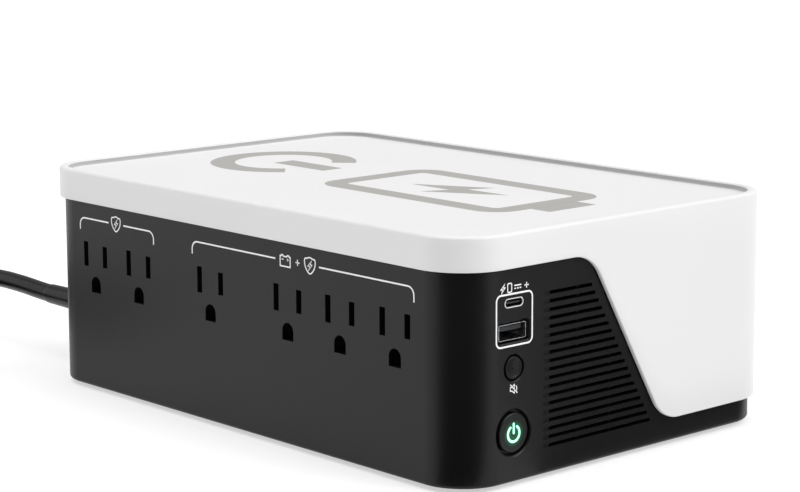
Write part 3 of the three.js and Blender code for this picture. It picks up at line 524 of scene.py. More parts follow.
def make_tie():
    """A hook-and-loop strap round the coil's turns, its end lapped over the outside."""
    inner, outer = 30.6, 54.5
    low, high = 0.75, 16.7
    thick, half, edge = 0.8, 5.0, 0.25
    width, height = outer - inner, high - low
    middle = (inner + outer) / 2, (low + high) / 2
    loops = [rounded_outline(width, height, 3, *middle, 8, grow) for grow in (0.0, thick)]
    turn = math.radians(-120)

    def place(radial, z, along):
        x = radial * math.cos(turn) - along * math.sin(turn)
        y = radial * math.sin(turn) + along * math.cos(turn)
        return (COIL_MIDDLE[0] + x, COIL_MIDDLE[1] + y, max(z, 0.02))

    sections = [
        (loops[0], -half + edge), (loops[0], half - edge), (loops[0], half),
        (loops[1], half), (loops[1], half - edge), (loops[1], -half + edge),
        (loops[1], -half), (loops[0], -half),
    ]
    rings = [[place(r, z, along) for r, z in loop] for loop, along in sections]
    flap = []
    for thickness, along in ((0.85, -half), (1.65, -half), (1.65, half), (0.85, half)):
        x = outer + thickness
        flap.append([place(x, z, along) for z in (3.5, 7.5, 11.5, 14.2)])
    strip = loft([list(column) for column in zip(*flap)])
    parts = merged(loft(rings, closed=True), strip)
    return new_piece("coil_tie", *parts, TIE_FABRIC, "tie_fabric", replaces=["cord_tie"])


def make_plug():
    """Moulded plug: a rounded block with grip hollows in its sides, and a ribbed neck."""
    sections = [
        (0, 24.6, 20.6, 5.0), (0.4, 26.2, 22.2, 5.6), (1.4, 27.6, 23.6, 6), (2.6, 28, 24, 6.2),
        (9, 28, 24, 6.4), (12, 27.2, 24, 6.6), (15, 25.4, 24, 6.8), (18, 24.4, 23.8, 7),
        (21, 24.6, 23.4, 7.2), (24, 24.8, 22.6, 7.6), (27.5, 23.8, 21.4, 8.2),
        (30.5, 21.6, 19.6, 8.6), (32.8, 18.4, 17.4, 8.4), (34.2, 15.6, 15.2, 7.5),
    ]
    for k in range(4):
        start = 34.8 + 1.75 * k
        size = 13.4 - 0.35 * k
        groove = size - 1.4
        for along, width in ((0, groove), (0.25, size), (1.1, size), (1.35, groove)):
            sections.append((start + along, width, width, width / 2 - 0.01))
    sections += [(41.9, 9.6, 9.6, 4.79), (42, 7.8, 7.8, 3.89)]
    rings = []
    for along, width, height, radius in sections:
        outline = rounded_outline(width, height, radius, PLUG_Y, PLUG_Z, 10)
        rings.append([(PLUG_FRONT - along, a, b) for a, b in outline])
    return new_piece(
        "plug_housing", *loft(rings), CORD_BLACK, "cord_sheath", replaces=["plug_body"]
    )


def make_blade(name, z, node):
    """A flat brass blade with a chamfered end and its round hole."""
    y = PLUG_Y - 4
    half = [(-5, 3.17), (15.6, 3.17), (17.5, 1.9)]
    half += [(along, -aside) for along, aside in reversed(half)]
    outline = moved(half, PLUG_FRONT, y)
    blade = prism_z(outline, z - 0.75, z + 0.75)
    obj = new_piece(name, *blade, BRASS, "contact_brass", replaces=[node])
    cut_away(obj, prism_z(arc(PLUG_FRONT + 12, y, 1.5, 0, 345, 23), z - 2, z + 2))
    soften(obj, 0.12)
    return obj


def make_pin():
    """The round ground pin with its domed end."""
    radius, straight, dome = 2.4, 17.2, 2.8
    profile = [(0, -5), (radius, -5), (radius, straight)]
    for angle in range(10, 91, 10):
        turn = math.radians(angle)
        profile.append((radius * math.cos(turn), straight + dome * math.sin(turn)))
    verts, faces = turned(profile, (PLUG_FRONT, PLUG_Y - 4 + 11.8, PLUG_Z), 32)
    return new_piece("plug_pin", verts, faces, BRASS, "contact_brass", replaces=["plug_ground_pin"])


plug_pieces = [
    make_boot(),
    make_tie(),
    make_plug(),
    make_blade("plug_blade_line", PLUG_Z - 6.35, "plug_line_blade"),
    make_blade("plug_blade_neutral", PLUG_Z + 6.35, "plug_neutral_blade"),
    make_pin(),
]


# ---------- cover ----------

BAND_LOW = COVER_TOP - 12.15
SLOPE = math.radians(60)
SLOPE_FOOT = SIDE_Y - 61.5
FILLET = 15.0
RIM_WIDTH = 3.6
RECESS = 2.4
UNDERSIDE = CASE_TOP + GAP
CORNER_STEPS = 24
SIDE_STEPS = 24
POST_RADIUS, POST_BORE = 4, 1.8
POST_FOOT, BORE_TOP = 7.3, 22.3


def skirt_edge():
    """The cover's lower edge along an end, from front to rear, as (y, z)."""
    run = FILLET * math.tan(SLOPE / 2)
    high_y = SLOPE_FOOT - (BAND_LOW - SKIRT_LOW) / math.tan(SLOPE) - run
    low_y = SLOPE_FOOT + run
    points = [(-FLAT_Y + (high_y + FLAT_Y) * i / 8, BAND_LOW) for i in range(8)]
    points += arc(high_y, BAND_LOW - FILLET, FILLET, 90, 30, 14)
    foot = arc(low_y, SKIRT_LOW + FILLET, FILLET, 210, 270, 14)
    (y, z), (last_y, last_z) = points[-1], foot[0]
    points += [(y + (last_y - y) * i / 12, z + (last_z - z) * i / 12) for i in range(1, 12)]
    points += foot
    points += [(low_y + (FLAT_Y - low_y) * i / 6, SKIRT_LOW) for i in range(1, 7)]
    return points


def cover_samples():
    """Round the cover once, from the right end: (place, outward direction, lower edge's z).

    The place lies on the flat part of a side, or is the middle of a corner's arc.
    """
    end = skirt_edge()[1:-1]

    def corner(x, y, start, z):
        turns = [math.radians(start + 90 * i / CORNER_STEPS) for i in range(CORNER_STEPS + 1)]
        return [((x, y), (math.cos(t), math.sin(t)), z) for t in turns]

    def side(x, y, outward, z):
        run = -2 * x
        return [((x + run * i / SIDE_STEPS, y), outward, z) for i in range(1, SIDE_STEPS)]

    samples = [((FLAT_X, y), (1, 0), z) for y, z in end]
    samples += corner(FLAT_X, FLAT_Y, 0, SKIRT_LOW)
    samples += side(FLAT_X, FLAT_Y, (0, 1), SKIRT_LOW)
    samples += corner(-FLAT_X, FLAT_Y, 90, SKIRT_LOW)
    samples += [((-FLAT_X, y), (-1, 0), z) for y, z in reversed(end)]
    samples += corner(-FLAT_X, -FLAT_Y, 180, BAND_LOW)
    samples += side(-FLAT_X, -FLAT_Y, (0, -1), BAND_LOW)
    samples += corner(FLAT_X, -FLAT_Y, 270, BAND_LOW)
    return samples


def edge_lifts(samples):
    """For each sample, the direction (y, z) along an end wall that leads away from its edge."""
    lifts = []
    for i, (_, outward, _) in enumerate(samples):
        before, after = samples[i - 1], samples[(i + 1) % len(samples)]
        if outward[1] == 0 and before[1] == outward == after[1]:
            along = (after[0][1] - before[0][1], after[2] - before[2])
            length = math.hypot(*along) * outward[0]
            lifts.append((-along[1] / length, along[0] / length))
        else:
            lifts.append((0.0, 1.0))
    return lifts


def make_cover():
    """The cover's shell: inside edge, lower edge, wall, rounded rim, recess wall and floor."""
    samples = cover_samples()
    lifts = edge_lifts(samples)
    outer = CASE_RADIUS + COVER_GROWTH
    inner = outer - COVER_WALL
    rim = outer - RIM_WIDTH
    floor = COVER_TOP - RECESS
    edge, lip = 1.2, 0.5

    def level(radius, z):
        return [(c[0] + d[0] * radius, c[1] + d[1] * radius, z) for c, d, _ in samples]

    def low(radius, lift):
        ring = []
        for ((x, y), d, z), (ly, lz) in zip(samples, lifts):
            ring.append((x + d[0] * radius, y + d[1] * radius + ly * lift, z + lz * lift))
        return ring

    def between(share):
        bottom, top = low(outer, 0.35), level(outer, COVER_TOP - edge)
        return [tuple(a + (b - a) * share for a, b in zip(p, q)) for p, q in zip(bottom, top)]

    rings = [level(inner, UNDERSIDE), level(inner, UNDERSIDE - 1)]
    rings += [low(inner, 0.3), low(inner + 0.1, 0.1), low(inner + 0.3, 0.0)]
    rings += [low(outer - 0.35, 0.0), low(outer - 0.1, 0.1)]
    rings += [between(i / 6) for i in range(7)]
    for angle in (22.5, 45, 67.5, 90):
        side, rise = 1 - math.cos(math.radians(angle)), math.sin(math.radians(angle))
        rings.append(level(outer - edge * side, COVER_TOP - edge + edge * rise))
    for angle in (0, 30, 60, 90):
        side, fall = 1 - math.sin(math.radians(angle)), 1 - math.cos(math.radians(angle))
        rings.append(level(rim + lip * side, COVER_TOP - lip * fall))
    for angle in (0, 22.5, 45, 67.5, 90):
        side, fall = 1 - math.cos(math.radians(angle)), 1 - math.sin(math.radians(angle))
        rings.append(level(rim - edge * side, floor + edge * fall))
    rings += [level(rim - 4, floor), level(2, floor)]
    verts, faces = loft(rings)
    cover = new_piece(
        "cover_shell", verts, faces, COVER_WHITE, "cover_plastic", replaces=["top_cover"], sharp=60
    )
    # The wall round the recess gets a darker grey as painted shade.
    paint_shade_on_recess_wall(cover, (rim + 0.3) * MM, (floor + 0.5) * MM, (COVER_TOP - 0.4) * MM)


def paint_shade_on_recess_wall(cover, radius, low, high):
    """Paints shade on the wall round the recess: its faces get a darker grey material, a painted
    shade.
    """
    cover.data.materials.append(COVER_PAINTED_RECESS_SHADE)
    for face in cover.data.polygons:
        x, y, z = face.center
        past_flat = max(abs(x) - FLAT_X * MM, 0), max(abs(y) - FLAT_Y * MM, 0)
        if low < z < high and 0.01 < math.hypot(*past_flat) < radius:
            face.material_index = 1


def make_cover_posts():
    """The four screw posts that hang from the cover."""
    top = UNDERSIDE + 0.5
    profile = [
        (0, BORE_TOP), (POST_BORE, BORE_TOP), (POST_BORE, POST_FOOT),
        (POST_RADIUS, POST_FOOT), (POST_RADIUS, top), (0, top),
    ]
    x, y = END_X - SCREW_INSET[0], SIDE_Y - SCREW_INSET[1]
    posts = [upright(profile, a, b, 32) for a in (-x, x) for b in (-y, y)]
    new_piece("cover_posts", *merged(*posts), COVER_WHITE, "cover_plastic")


make_cover()
make_cover_posts()


# ---------- case ----------

OUTLET_X = (-88.0, -59.4, -14.3, 30.8, 59.4, 88.0)
BLADE_Z = 55.1
GROUND_Z = 43.3
CONTROL_Y = -55.2
POWER_Z = 18.9
MUTE_Z = 41.4
USB_A_Z = 53.8
USB_C_Z = 63.9
BREAKER = (-20.0, 43.5)
VENT_COUNT = 19
VENT_PITCH = 2.975
VENT_HEIGHT = 1.3
VENT_LOWEST = 11.45
VENT_START = -37.5
POWER_HOLE = 8.1
MUTE_HOLE = 4.65
BREAKER_HOLE = 5.2
BOOT_HOLE = 6
DOOR_X = (-100.2, 52.2)
DOOR_FRONT = -32.4
DOOR_TONGUE = 2.5  # how far the tongues reach past the door's sides


def case_outline(inset, z):
    points = rounded_outline(2 * END_X, 2 * SIDE_Y, CASE_RADIUS, steps=24, grow=-inset)
    return [(x, y, z) for x, y in points]


def outlet_cutters(x):
    """Two blade slots and an arched ground hole."""
    y = (-SIDE_Y - 1, -SIDE_Y + WALL + 0.5)
    neutral = box_mesh((x - 7.8, x - 4.9), y, (BLADE_Z - 4.95, BLADE_Z + 4.95))
    line = box_mesh((x + 4.9, x + 7.8), y, (BLADE_Z - 4.25, BLADE_Z + 4.25))
    arch = [(x - 3.1, GROUND_Z - 3.25), (x + 3.1, GROUND_Z - 3.25)]
    arch += arc(x, GROUND_Z + 0.15, 3.1, 0, 180, 18)
    return [neutral, line, prism_y(arch, *y)]


def funnel(radius, y, z, depth=0.45):
    """A hole through the end wall with a small chamfer at its mouth."""
    profile = [(0, -4), (radius, -4), (radius, -depth), (radius + depth + 1, 1), (0, 1)]
    return turned(profile, (END_X, y, z), 72)


def port_opening(width, height, radius, z, chamfer):
    rings = []
    for x, grow in ((END_X - 4, 0), (END_X - chamfer, 0), (END_X + 1, chamfer + 1)):
        outline = rounded_outline(width, height, radius, CONTROL_Y, z, grow=grow)
        rings.append([(x, *p) for p in outline])
    return loft(rings)


def vent_end(z):
    """Where a slot stops, a little before the cover's sloping edge."""
    return SLOPE_FOOT - (z - SKIRT_LOW) / math.tan(SLOPE) - 4.2


def vent_cutters():
    """The slots, each with a shallow ramp in the wall's face that leads into it."""
    cutters = []
    for i in range(VENT_COUNT):
        z = VENT_LOWEST + i * VENT_PITCH
        height = (z - VENT_HEIGHT / 2, z + VENT_HEIGHT / 2)
        cutters.append(box_mesh((END_X - WALL - 1, END_X + 1), (VENT_START, vent_end(z)), height))
        lead = [(0.5, -3.6), (-0.02, -3.6), (-0.55, 0.02), (0.5, 0.02)]
        cutters.append(prism_z(moved(lead, END_X, VENT_START), *height))
    return cutters


def base_cutters():
    """The battery door's opening and grooves, and the recesses for feet and screws."""
    rear = SIDE_Y + 1
    left, right = DOOR_X[0] - GAP, DOOR_X[1] + GAP
    opening = box_mesh((left, right), (DOOR_FRONT - GAP, rear), (0, 2.6))
    wide = (left - DOOR_TONGUE, right + DOOR_TONGUE)
    grooves = box_mesh(wide, (DOOR_FRONT - GAP, rear), (2.5, 4.3))
    recesses = []
    for side in (-1, 1):
        for end in (-1, 1):
            for inset, radius, top in ((FOOT_INSET, 4.8, 2.2), (SCREW_INSET, 3.3, 3.7)):
                x, y = side * (END_X - inset[0]), end * (SIDE_Y - inset[1])
                recesses.append(prism_z(arc(x, y, radius, 0, 350, 35), 0, top))
    return opening, grooves, recesses


def left_hole(radius, y, z):
    return turned([(0, -1), (radius, -1), (radius, 4), (0, 4)], (-END_X, y, z), 48)


def make_case():
    """The case's shell, open at the top, with all its openings cut."""
    edge = 1.3
    rings = []
    for angle in (90, 67.5, 45, 22.5, 0):
        turn = math.radians(angle)
        inset = edge * (1 - math.cos(turn))
        rings.append(case_outline(inset, CASE_BOTTOM + edge * (1 - math.sin(turn))))
    rings += [case_outline(0, CASE_TOP), case_outline(WALL, CASE_TOP), case_outline(WALL, 4.0)]
    verts, faces = loft(rings)
    obj = new_piece("case_shell", verts, faces, CASE_BLACK, "case_plastic", replaces=["lower_case"])
    opening, grooves, recesses = base_cutters()
    holes = [cutter for x in OUTLET_X for cutter in outlet_cutters(x)]
    holes += [
        funnel(POWER_HOLE, CONTROL_Y, POWER_Z),
        funnel(MUTE_HOLE, CONTROL_Y, MUTE_Z, 0.3),
        port_opening(14, 7.1, 0.7, USB_A_Z, 0.5),
        port_opening(9.34, 3.66, 1.8, USB_C_Z, 0.12),
        left_hole(BREAKER_HOLE, *BREAKER),
        left_hole(BOOT_HOLE, *CORD_EXIT[1:]),
    ]
    vents = vent_cutters()
    cut_away(obj, merged(*holes, opening, *recesses))
    cut_away(obj, grooves)
    cut_away(obj, merged(*vents[::2]))
    cut_away(obj, merged(*vents[1::2]))
    soften(obj, 0.22)


make_case()


def make_vent_ribs():
    """Two upright ribs behind the air slots."""
    parts = []
    for y in (-21.5, -4.8):
        parts.append(prism_z(rounded_outline(2.4, 1.6, 0.4, END_X - WALL - 1.3, y), 4.2, 67.5))
    new_piece("vent_ribs", *merged(*parts), CASE_BLACK, "case_plastic")


make_vent_ribs()


def make_door():
    """The sliding battery door: a plate with tongues, finger grooves and a softened rear edge."""
    plate = box_mesh(DOOR_X, (DOOR_FRONT, SIDE_Y), (CASE_BOTTOM, 3.0))
    obj = new_piece("door_plate", *plate, CASE_BLACK, "case_plastic", "door", ["battery_door"])
    depth, half = (0, CASE_BOTTOM + 0.6), 0.8
    middles = [SIDE_Y - back for back in (8, 12, 16, 20)]
    cut_away(obj, merged(*(box_mesh((-44, -4), (y - half, y + half), depth) for y in middles)))
    soften(obj, 0.3)
    wide = (DOOR_X[0] - DOOR_TONGUE, DOOR_X[1] + DOOR_TONGUE)
    tongues = box_mesh(wide, (DOOR_FRONT, SIDE_Y - 0.1), (2.9, 3.9))
    soften(new_piece("door_tongues", *tongues, CASE_BLACK, "case_plastic", "door"), 0.15)


make_door()


# ---------- buttons, ports and breaker ----------


def rounded_lip(radius, top, edge):
    """The rounded edge at the end of a turned piece, from its side to its face."""
    points = []
    for angle in (0, 18, 36, 54, 72, 90):
        turn = math.radians(angle)
        points.append((radius - edge * (1 - math.cos(turn)), top - edge * (1 - math.sin(turn))))
    return points


def make_power_cap_material():
    """Button plastic with green light spreading round the lit mark."""
    material = moulded("power_cap_black", (0.006, 0.0063, 0.0065), 0.38, 3000, 5e-6, 0.28)
    tree = material.node_tree
    shader = tree.nodes["Principled BSDF"]
    place = add_node(tree, "ShaderNodeTexCoord")
    across = add_node(tree, "ShaderNodeVectorMath")
    across.operation = "DISTANCE"
    across.inputs[1].default_value = (END_X * MM, CONTROL_Y * MM, (POWER_Z - 0.35) * MM)
    from_ring = add_node(tree, "ShaderNodeMath")
    from_ring.operation = "SUBTRACT"
    from_ring.inputs[1].default_value = 2.3 * MM
    away = add_node(tree, "ShaderNodeMath")
    away.operation = "ABSOLUTE"
    settings = {"From Min": 0.5 * MM, "From Max": 2.6 * MM, "To Min": 0.14, "To Max": 0.0}
    fade = add_node(tree, "ShaderNodeMapRange", settings)
    fade.interpolation_type = "SMOOTHSTEP"
    shader.inputs["Emission Color"].default_value = (0.02, 0.75, 0.28, 1)
    tree.links.new(place.outputs["Object"], across.inputs[0])
    tree.links.new(across.outputs["Value"], from_ring.inputs[0])
    tree.links.new(from_ring.outputs["Value"], away.inputs[0])
    tree.links.new(away.outputs["Value"], fade.inputs["Value"])
    tree.links.new(fade.outputs["Result"], shader.inputs["Emission Strength"])
    return material


def make_lit_material():
    """The lit mark: mint, in two slightly different shades."""
    material, shader = new_material("lit_mark", (0.3, 0.9, 0.6), 0.4)
    glow = noise(material, 700, 2)
    tint(material, shader, glow, (0.38, 0.98, 0.62), (0.56, 1.0, 0.76), "Emission Color")
    shader.inputs["Emission Strength"].default_value = 1.0
    return material


POWER_CAP = make_power_cap_material()
LIT_MARK = make_lit_material()


def make_button(name, z, profile, segments, material, body, node):
    verts, faces = turned(profile, (END_X, CONTROL_Y, z), segments)
    new_piece(name, verts, faces, material, "button_plastic", body, [node])


def make_power_button():
    profile = [(0, -6.6), (1.5, -6.6), (1.5, -4.1), (9, -4.1), (9, -2.8), (6.85, -2.8)]
    profile += rounded_lip(6.85, -0.04, 0.55)
    profile += [(5.6, -0.04), (4.2, -0.05), (0, -0.06)]
    make_button("power_cap", POWER_Z, profile, 96, POWER_CAP, "power_key", "power_button")


def make_mute_button():
    """Mute button with a dished face and a small raised dot in its middle."""
    profile = [(0, -6.4), (1.5, -6.4), (1.5, -4.1), (5.5, -4.1), (5.5, -2.8), (3.95, -2.8)]
    profile += rounded_lip(3.95, 0, 0.35)
    profile += [(3.3, 0), (3.05, -0.12), (2.9, -0.22), (0.75, -0.26)]
    profile += [(0.55, -0.05), (0.4, 0.12), (0, 0.2)]
    make_button("mute_cap", MUTE_Z, profile, 72, BUTTON_BLACK, "mute_key", "mute_button")


make_power_button()
make_mute_button()


def port_shell(name, width, height, radius, wall, z, front, material, node):
    """A folded metal port shell, its mouth slightly rounded."""
    rings = []
    back = END_X - 14
    for x, grow in (
        (back, 0), (front - 0.12, 0), (front, -0.1), (front, -wall + 0.08),
        (front - 0.3, -wall), (back, -wall),
    ):
        outline = rounded_outline(width, height, radius, CONTROL_Y, z, 8, grow)
        rings.append([(x, *p) for p in outline])
    verts, faces = loft(rings, closed=True)
    return new_piece(name, verts, faces, material, "port_shell", replaces=[node])


def port_insert(name, node, block, tongue, edge):
    """The black insert of a port: a block at its back, and the tongue that stands on it."""
    parts = merged(box_mesh(*block), box_mesh(*tongue))
    insert = new_piece(name, *parts, PORT_BLACK_AND_PAINTED_SHADE, "component_plastic", replaces=[node])
    soften(insert, edge)


def about(middle, half):
    return (middle - half, middle + half)


def make_ports():
    port_shell("usb_a_mouth", 13.1, 5.7, 0.6, 0.35, USB_A_Z, END_X - 0.9, PORT_STEEL, "usb_a_shell")
    # The USB-C mouth's lip is a bright plain material, a painted highlight on its metal edge.
    rim = port_shell(
        "usb_c_mouth", 8.94, 3.26, 1.58, 0.36, USB_C_Z, END_X + 0.02, PORT_RIM_PAINTED_HIGHLIGHT, "usb_c_shell"
    )
    rim.data.materials.append(PORT_BLACK_AND_PAINTED_SHADE)
    # Faces of the steel shell behind its lip get black: painted shade inside the port.
    for face in rim.data.polygons:
        if face.center.x < (END_X - 0.2) * MM:
            face.material_index = 1
    x, y = END_X - 14.6, CONTROL_Y
    block = ((x, x + 4), about(y, 5.8), about(USB_A_Z, 2.1))
    tongue = ((x, END_X - 2.2), about(y, 5.5), (USB_A_Z + 0.3, USB_A_Z + 1.9))
    port_insert("usb_a_insert", "usb_a_tongue", block, tongue, 0.15)
    lengthways, height = (x + 4, END_X - 2.7), (USB_A_Z + 0.2, USB_A_Z + 0.32)
    pads = [box_mesh(lengthways, about(y + aside, 0.55), height) for aside in (-3.5, -1, 1, 3.5)]
    new_piece("usb_a_contacts", *merged(*pads), BRASS, "contact_brass")
    block = ((x, x + 3), about(y, 3.1), about(USB_C_Z, 1))
    tongue = ((x, END_X - 0.8), about(y, 3.3), about(USB_C_Z, 0.35))
    port_insert("usb_c_insert", "usb_c_tongue", block, tongue, 0.1)


make_ports()


def make_breaker():
    """Push-to-reset breaker on the cord end: a bezel round a domed button."""
    x, y, z = -END_X, *BREAKER
    bezel = [
        (3.95, 12), (5.1, 12), (5.1, -0.05), (6.6, -0.05), (6.6, -0.45),
        (6.3, -0.9), (5.6, -1.15), (4.5, -1.15), (4.05, -0.8), (3.95, -0.3),
    ]
    rings = [[(x + along, *p) for p in arc(y, z, radius, 0, 354, 59)] for radius, along in bezel]
    verts, faces = loft(rings, closed=True)
    new_piece("breaker_bezel", verts, faces, BUTTON_BLACK, "button_plastic")
    profile = [
        (0, 12), (3.6, 12), (3.6, -1.0), (3.5, -1.3), (3.2, -1.5), (2.6, -1.6), (1.6, -1.45),
        (0, -1.35),
    ]
    new_piece(
        "breaker_cap", *turned(profile, (x, y, z), 48), BUTTON_BLACK, "button_plastic",
        "breaker_key", ["breaker_button"],
    )


make_breaker()


def make_feet():
    """Rubber feet with rounded rims and a shallow dish."""
    profile = [
        (0, 1.9), (4.5, 1.9), (4.5, 0.5), (4.35, 0.15), (4, 0), (2.6, 0), (2.2, 0.2), (0, 0.25),
    ]
    for side, x_name in ((-1, "left"), (1, "right")):
        for end, y_name in ((-1, "front"), (1, "rear")):
            x, y = side * (END_X - FOOT_INSET[0]), end * (SIDE_Y - FOOT_INSET[1])
            corner = f"{y_name}_{x_name}"
            foot = upright(profile, x, y, 40)
            replaced = [f"foot_{corner}"]
            new_piece(f"foot_pad_{corner}", *foot, RUBBER, "foot_rubber", replaces=replaced)


make_feet()


# ---------- printed marks ----------

INK = 0.03  # how far a print stands out


def ribbon(points, width, closed=False):
    """Left and right edges of a line of even width, mitred at its bends."""
    count = len(points)
    left, right = [], []
    for i, (x, y) in enumerate(points):
        before = points[i - 1] if closed or i > 0 else None
        after = points[(i + 1) % count] if closed or i < count - 1 else None
        normals = []
        for a, b in ((before, (x, y)), ((x, y), after)):
            if a is not None and b is not None:
                length = math.dist(a, b) or 1e-9
                normals.append((-(b[1] - a[1]) / length, (b[0] - a[0]) / length))
        nx = sum(n[0] for n in normals)
        ny = sum(n[1] for n in normals)
        size = math.hypot(nx, ny) or 1e-9
        nx, ny = nx / size, ny / size
        share = max(0.5, nx * normals[0][0] + ny * normals[0][1])
        reach = width / 2 / share
        left.append((x + nx * reach, y + ny * reach))
        right.append((x - nx * reach, y - ny * reach))
    return left, right


def ink_line(points, width, place, closed=False, height=INK):
    """A thin raised line. place turns (u, v, height) into a point."""
    rings = []
    for a, b in zip(*ribbon(points, width, closed)):
        rings.append([place(*a, 0), place(*b, 0), place(*b, height), place(*a, height)])
    return loft(rings, closed)


def ink_patch(points, place, height):
    """A thin raised area."""
    return loft([[place(*p, level) for p in points] for level in (0, height)])


def smooth_loop(points):
    """A closed smooth line through the points (Catmull-Rom), in five steps between two."""
    made = []
    for i in range(len(points)):
        around = [points[(i + k) % len(points)] for k in (-1, 0, 1, 2)]
        for t in (0, 0.2, 0.4, 0.6, 0.8):
            weights = (
                -t + 2 * t**2 - t**3, 2 - 5 * t**2 + 3 * t**3, t + 4 * t**2 - 3 * t**3, t**3 - t**2,
            )
            pairs = list(zip(weights, around))
            made.append(tuple(0.5 * sum(weight * p[k] for weight, p in pairs) for k in (0, 1)))
    return made


SHIELD = [
    (0, 2.9), (1.5, 2.5), (2.75, 2.2), (2.85, 0.4), (1.9, -1.6),
    (0, -2.95), (-1.9, -1.6), (-2.85, 0.4), (-2.75, 2.2), (-1.5, 2.5),
]
BOLT = [(0.95, 1.9), (-1.15, -0.25), (-0.1, -0.25), (-0.75, -1.95), (1.2, 0.35), (0.15, 0.35)]


def shield_icon(x, y, place):
    return [
        ink_line(moved(smooth_loop(SHIELD), x, y), 0.5, place, True),
        ink_line(moved(BOLT, x, y), 0.34, place, True),
    ]


def battery_icon(x, y, place):
    """An outline with two posts, a minus and a plus."""
    half = [(1.0, 1.5), (1.2, 1.95), (2.1, 1.95), (2.3, 1.5), (2.8, 1.5), (2.8, -2.1)]
    outline = half + [(-u, v) for u, v in reversed(half)]
    signs = ([(-1.9, 0.4), (-0.9, 0.4)], [(0.9, 0.4), (1.9, 0.4)], [(1.4, -0.1), (1.4, 0.9)])
    icon = [ink_line(moved(outline, x, y), 0.5, place, True)]
    return icon + [ink_line(moved(sign, x, y), 0.4, place) for sign in signs]


def plus_sign(x, y, half, width, place):
    strokes = ([(x - half, y), (x + half, y)], [(x, y - half), (x, y + half)])
    return [ink_line(stroke, width, place) for stroke in strokes]


def front_place(u, v, height):
    return (u, -SIDE_Y + 0.01 - height, v)


def end_place(u, v, height):
    return (END_X - 0.01 + height, u, v)


def make_front_marks():
    """Two brackets over the outlet groups, open where their pictograms stand."""
    brackets = (
        [(-98, 64.6)] + arc(-95, 66.4, 3, 180, 90, 8) + [(-78.6, 69.4)],
        [(-68.75, 69.4)] + arc(-52.2, 66.4, 3, 90, 0, 8) + [(-49.2, 64.5)],
        [(-24.9, 64.3)] + arc(-21.9, 66.2, 3, 180, 90, 8) + [(24.25, 69.2)],
        [(48.5, 69.2)] + arc(94.7, 66.2, 3, 90, 0, 8) + [(97.7, 64.0)],
    )
    parts = [ink_line(bracket, 0.58, front_place) for bracket in brackets]
    parts += shield_icon(-73.7, 69.4, front_place)
    parts += battery_icon(29.8, 69.05, front_place)
    parts += plus_sign(36.7, 69.2, 1.1, 0.45, front_place)
    parts += shield_icon(43.5, 69.1, front_place)
    new_piece("outlet_marks", *merged(*parts), WHITE_INK, "port_shell")


def make_end_marks():
    """A frame round the ports, their pictograms above it, and a muted speaker."""
    speaker = [(-1.9, 0.75), (-1.0, 0.75), (0.35, 1.8), (0.35, -1.8), (-1.0, -0.75), (-1.9, -0.75)]
    mute = (-55.3, 34.2, 0.85)
    outlines = (
        (rounded_outline(17.0, 17.8, 2.0, -55.08, 58.1, 6), 0.62),
        (moved(speaker, *mute), 0.34),
        (moved(BOLT, -60.6, 69.2, 0.85), 0.4),
        (rounded_outline(1.9, 3.0, 0.4, -57.4, 69.2, 3), 0.4),
    )
    lines = [
        (moved(arc(0.2, 0, 1.5, -50, 50, 6), *mute), 0.34),
        (moved([(-1.9, 1.9), (2.0, -1.9)], *mute), 0.4),
        ([(-55.2, 69.7), (-51.9, 69.7)], 0.42),
    ]
    for start in (-55.2, -53.95, -52.7):
        lines.append(([(start, 68.7), (start + 0.8, 68.7)], 0.42))
    parts = [ink_line(points, width, end_place, True) for points, width in outlines]
    parts += [ink_line(points, width, end_place) for points, width in lines]
    parts += plus_sign(-49.4, 69.2, 1.0, 0.42, end_place)
    new_piece("end_marks", *merged(*parts), WHITE_INK, "port_shell")


def make_lit_mark():
    """The power symbol, with round ends on its ring and bar."""
    x, y = CONTROL_Y, POWER_Z - 0.35

    def place(u, v, height):
        return (END_X - 0.1 + height, u, v)

    half_open = 34
    ring = arc(x, y, 2.75, 90 + half_open, 450 - half_open, 40)
    bar = [(x, POWER_Z - 0.1), (x, POWER_Z + 3.1)]
    parts = [ink_line(ring, 0.86, place, height=0.1), ink_line(bar, 0.86, place, height=0.12)]
    for u, v in (ring[0], ring[-1], *bar):
        parts.append(ink_patch(arc(u, v, 0.43, 0, 340, 17), place, 0.11))
    mark = merged(*parts)
    new_piece("power_mark", *mark, LIT_MARK, "lit_lens", "power_key", ["power_symbol_lens"])


def make_top_mark():
    """Generic pictograms on the top: an open ring with a bar, and a battery with a bolt."""
    z = COVER_TOP - RECESS

    def place(u, v, height):
        return (u, v, z - 0.01 + height)

    bolt = [(8, 1), (38, 17), (33, 7), (54, 8), (24, -9), (29, 1.5)]
    terminal = [(81.6, -8), (91, -8), (91, 16), (81.6, 16)]
    parts = [
        ink_line(arc(-73, 4, 25, 38, 322, 56), 10, place, height=0.04),
        ink_line([(-73, 4), (-42, 4)], 10, place, height=0.05),
        ink_line(rounded_outline(92, 50, 7, 31, 4, 8), 9, place, True, 0.04),
        ink_patch(terminal, place, 0.04),
        ink_patch(bolt, place, 0.04),
    ]
    new_piece("top_mark", *merged(*parts), GREY_INK, "component_plastic")


make_front_marks()
make_end_marks()
make_lit_mark()
make_top_mark()


# ---------- carried-over CAD pieces ----------

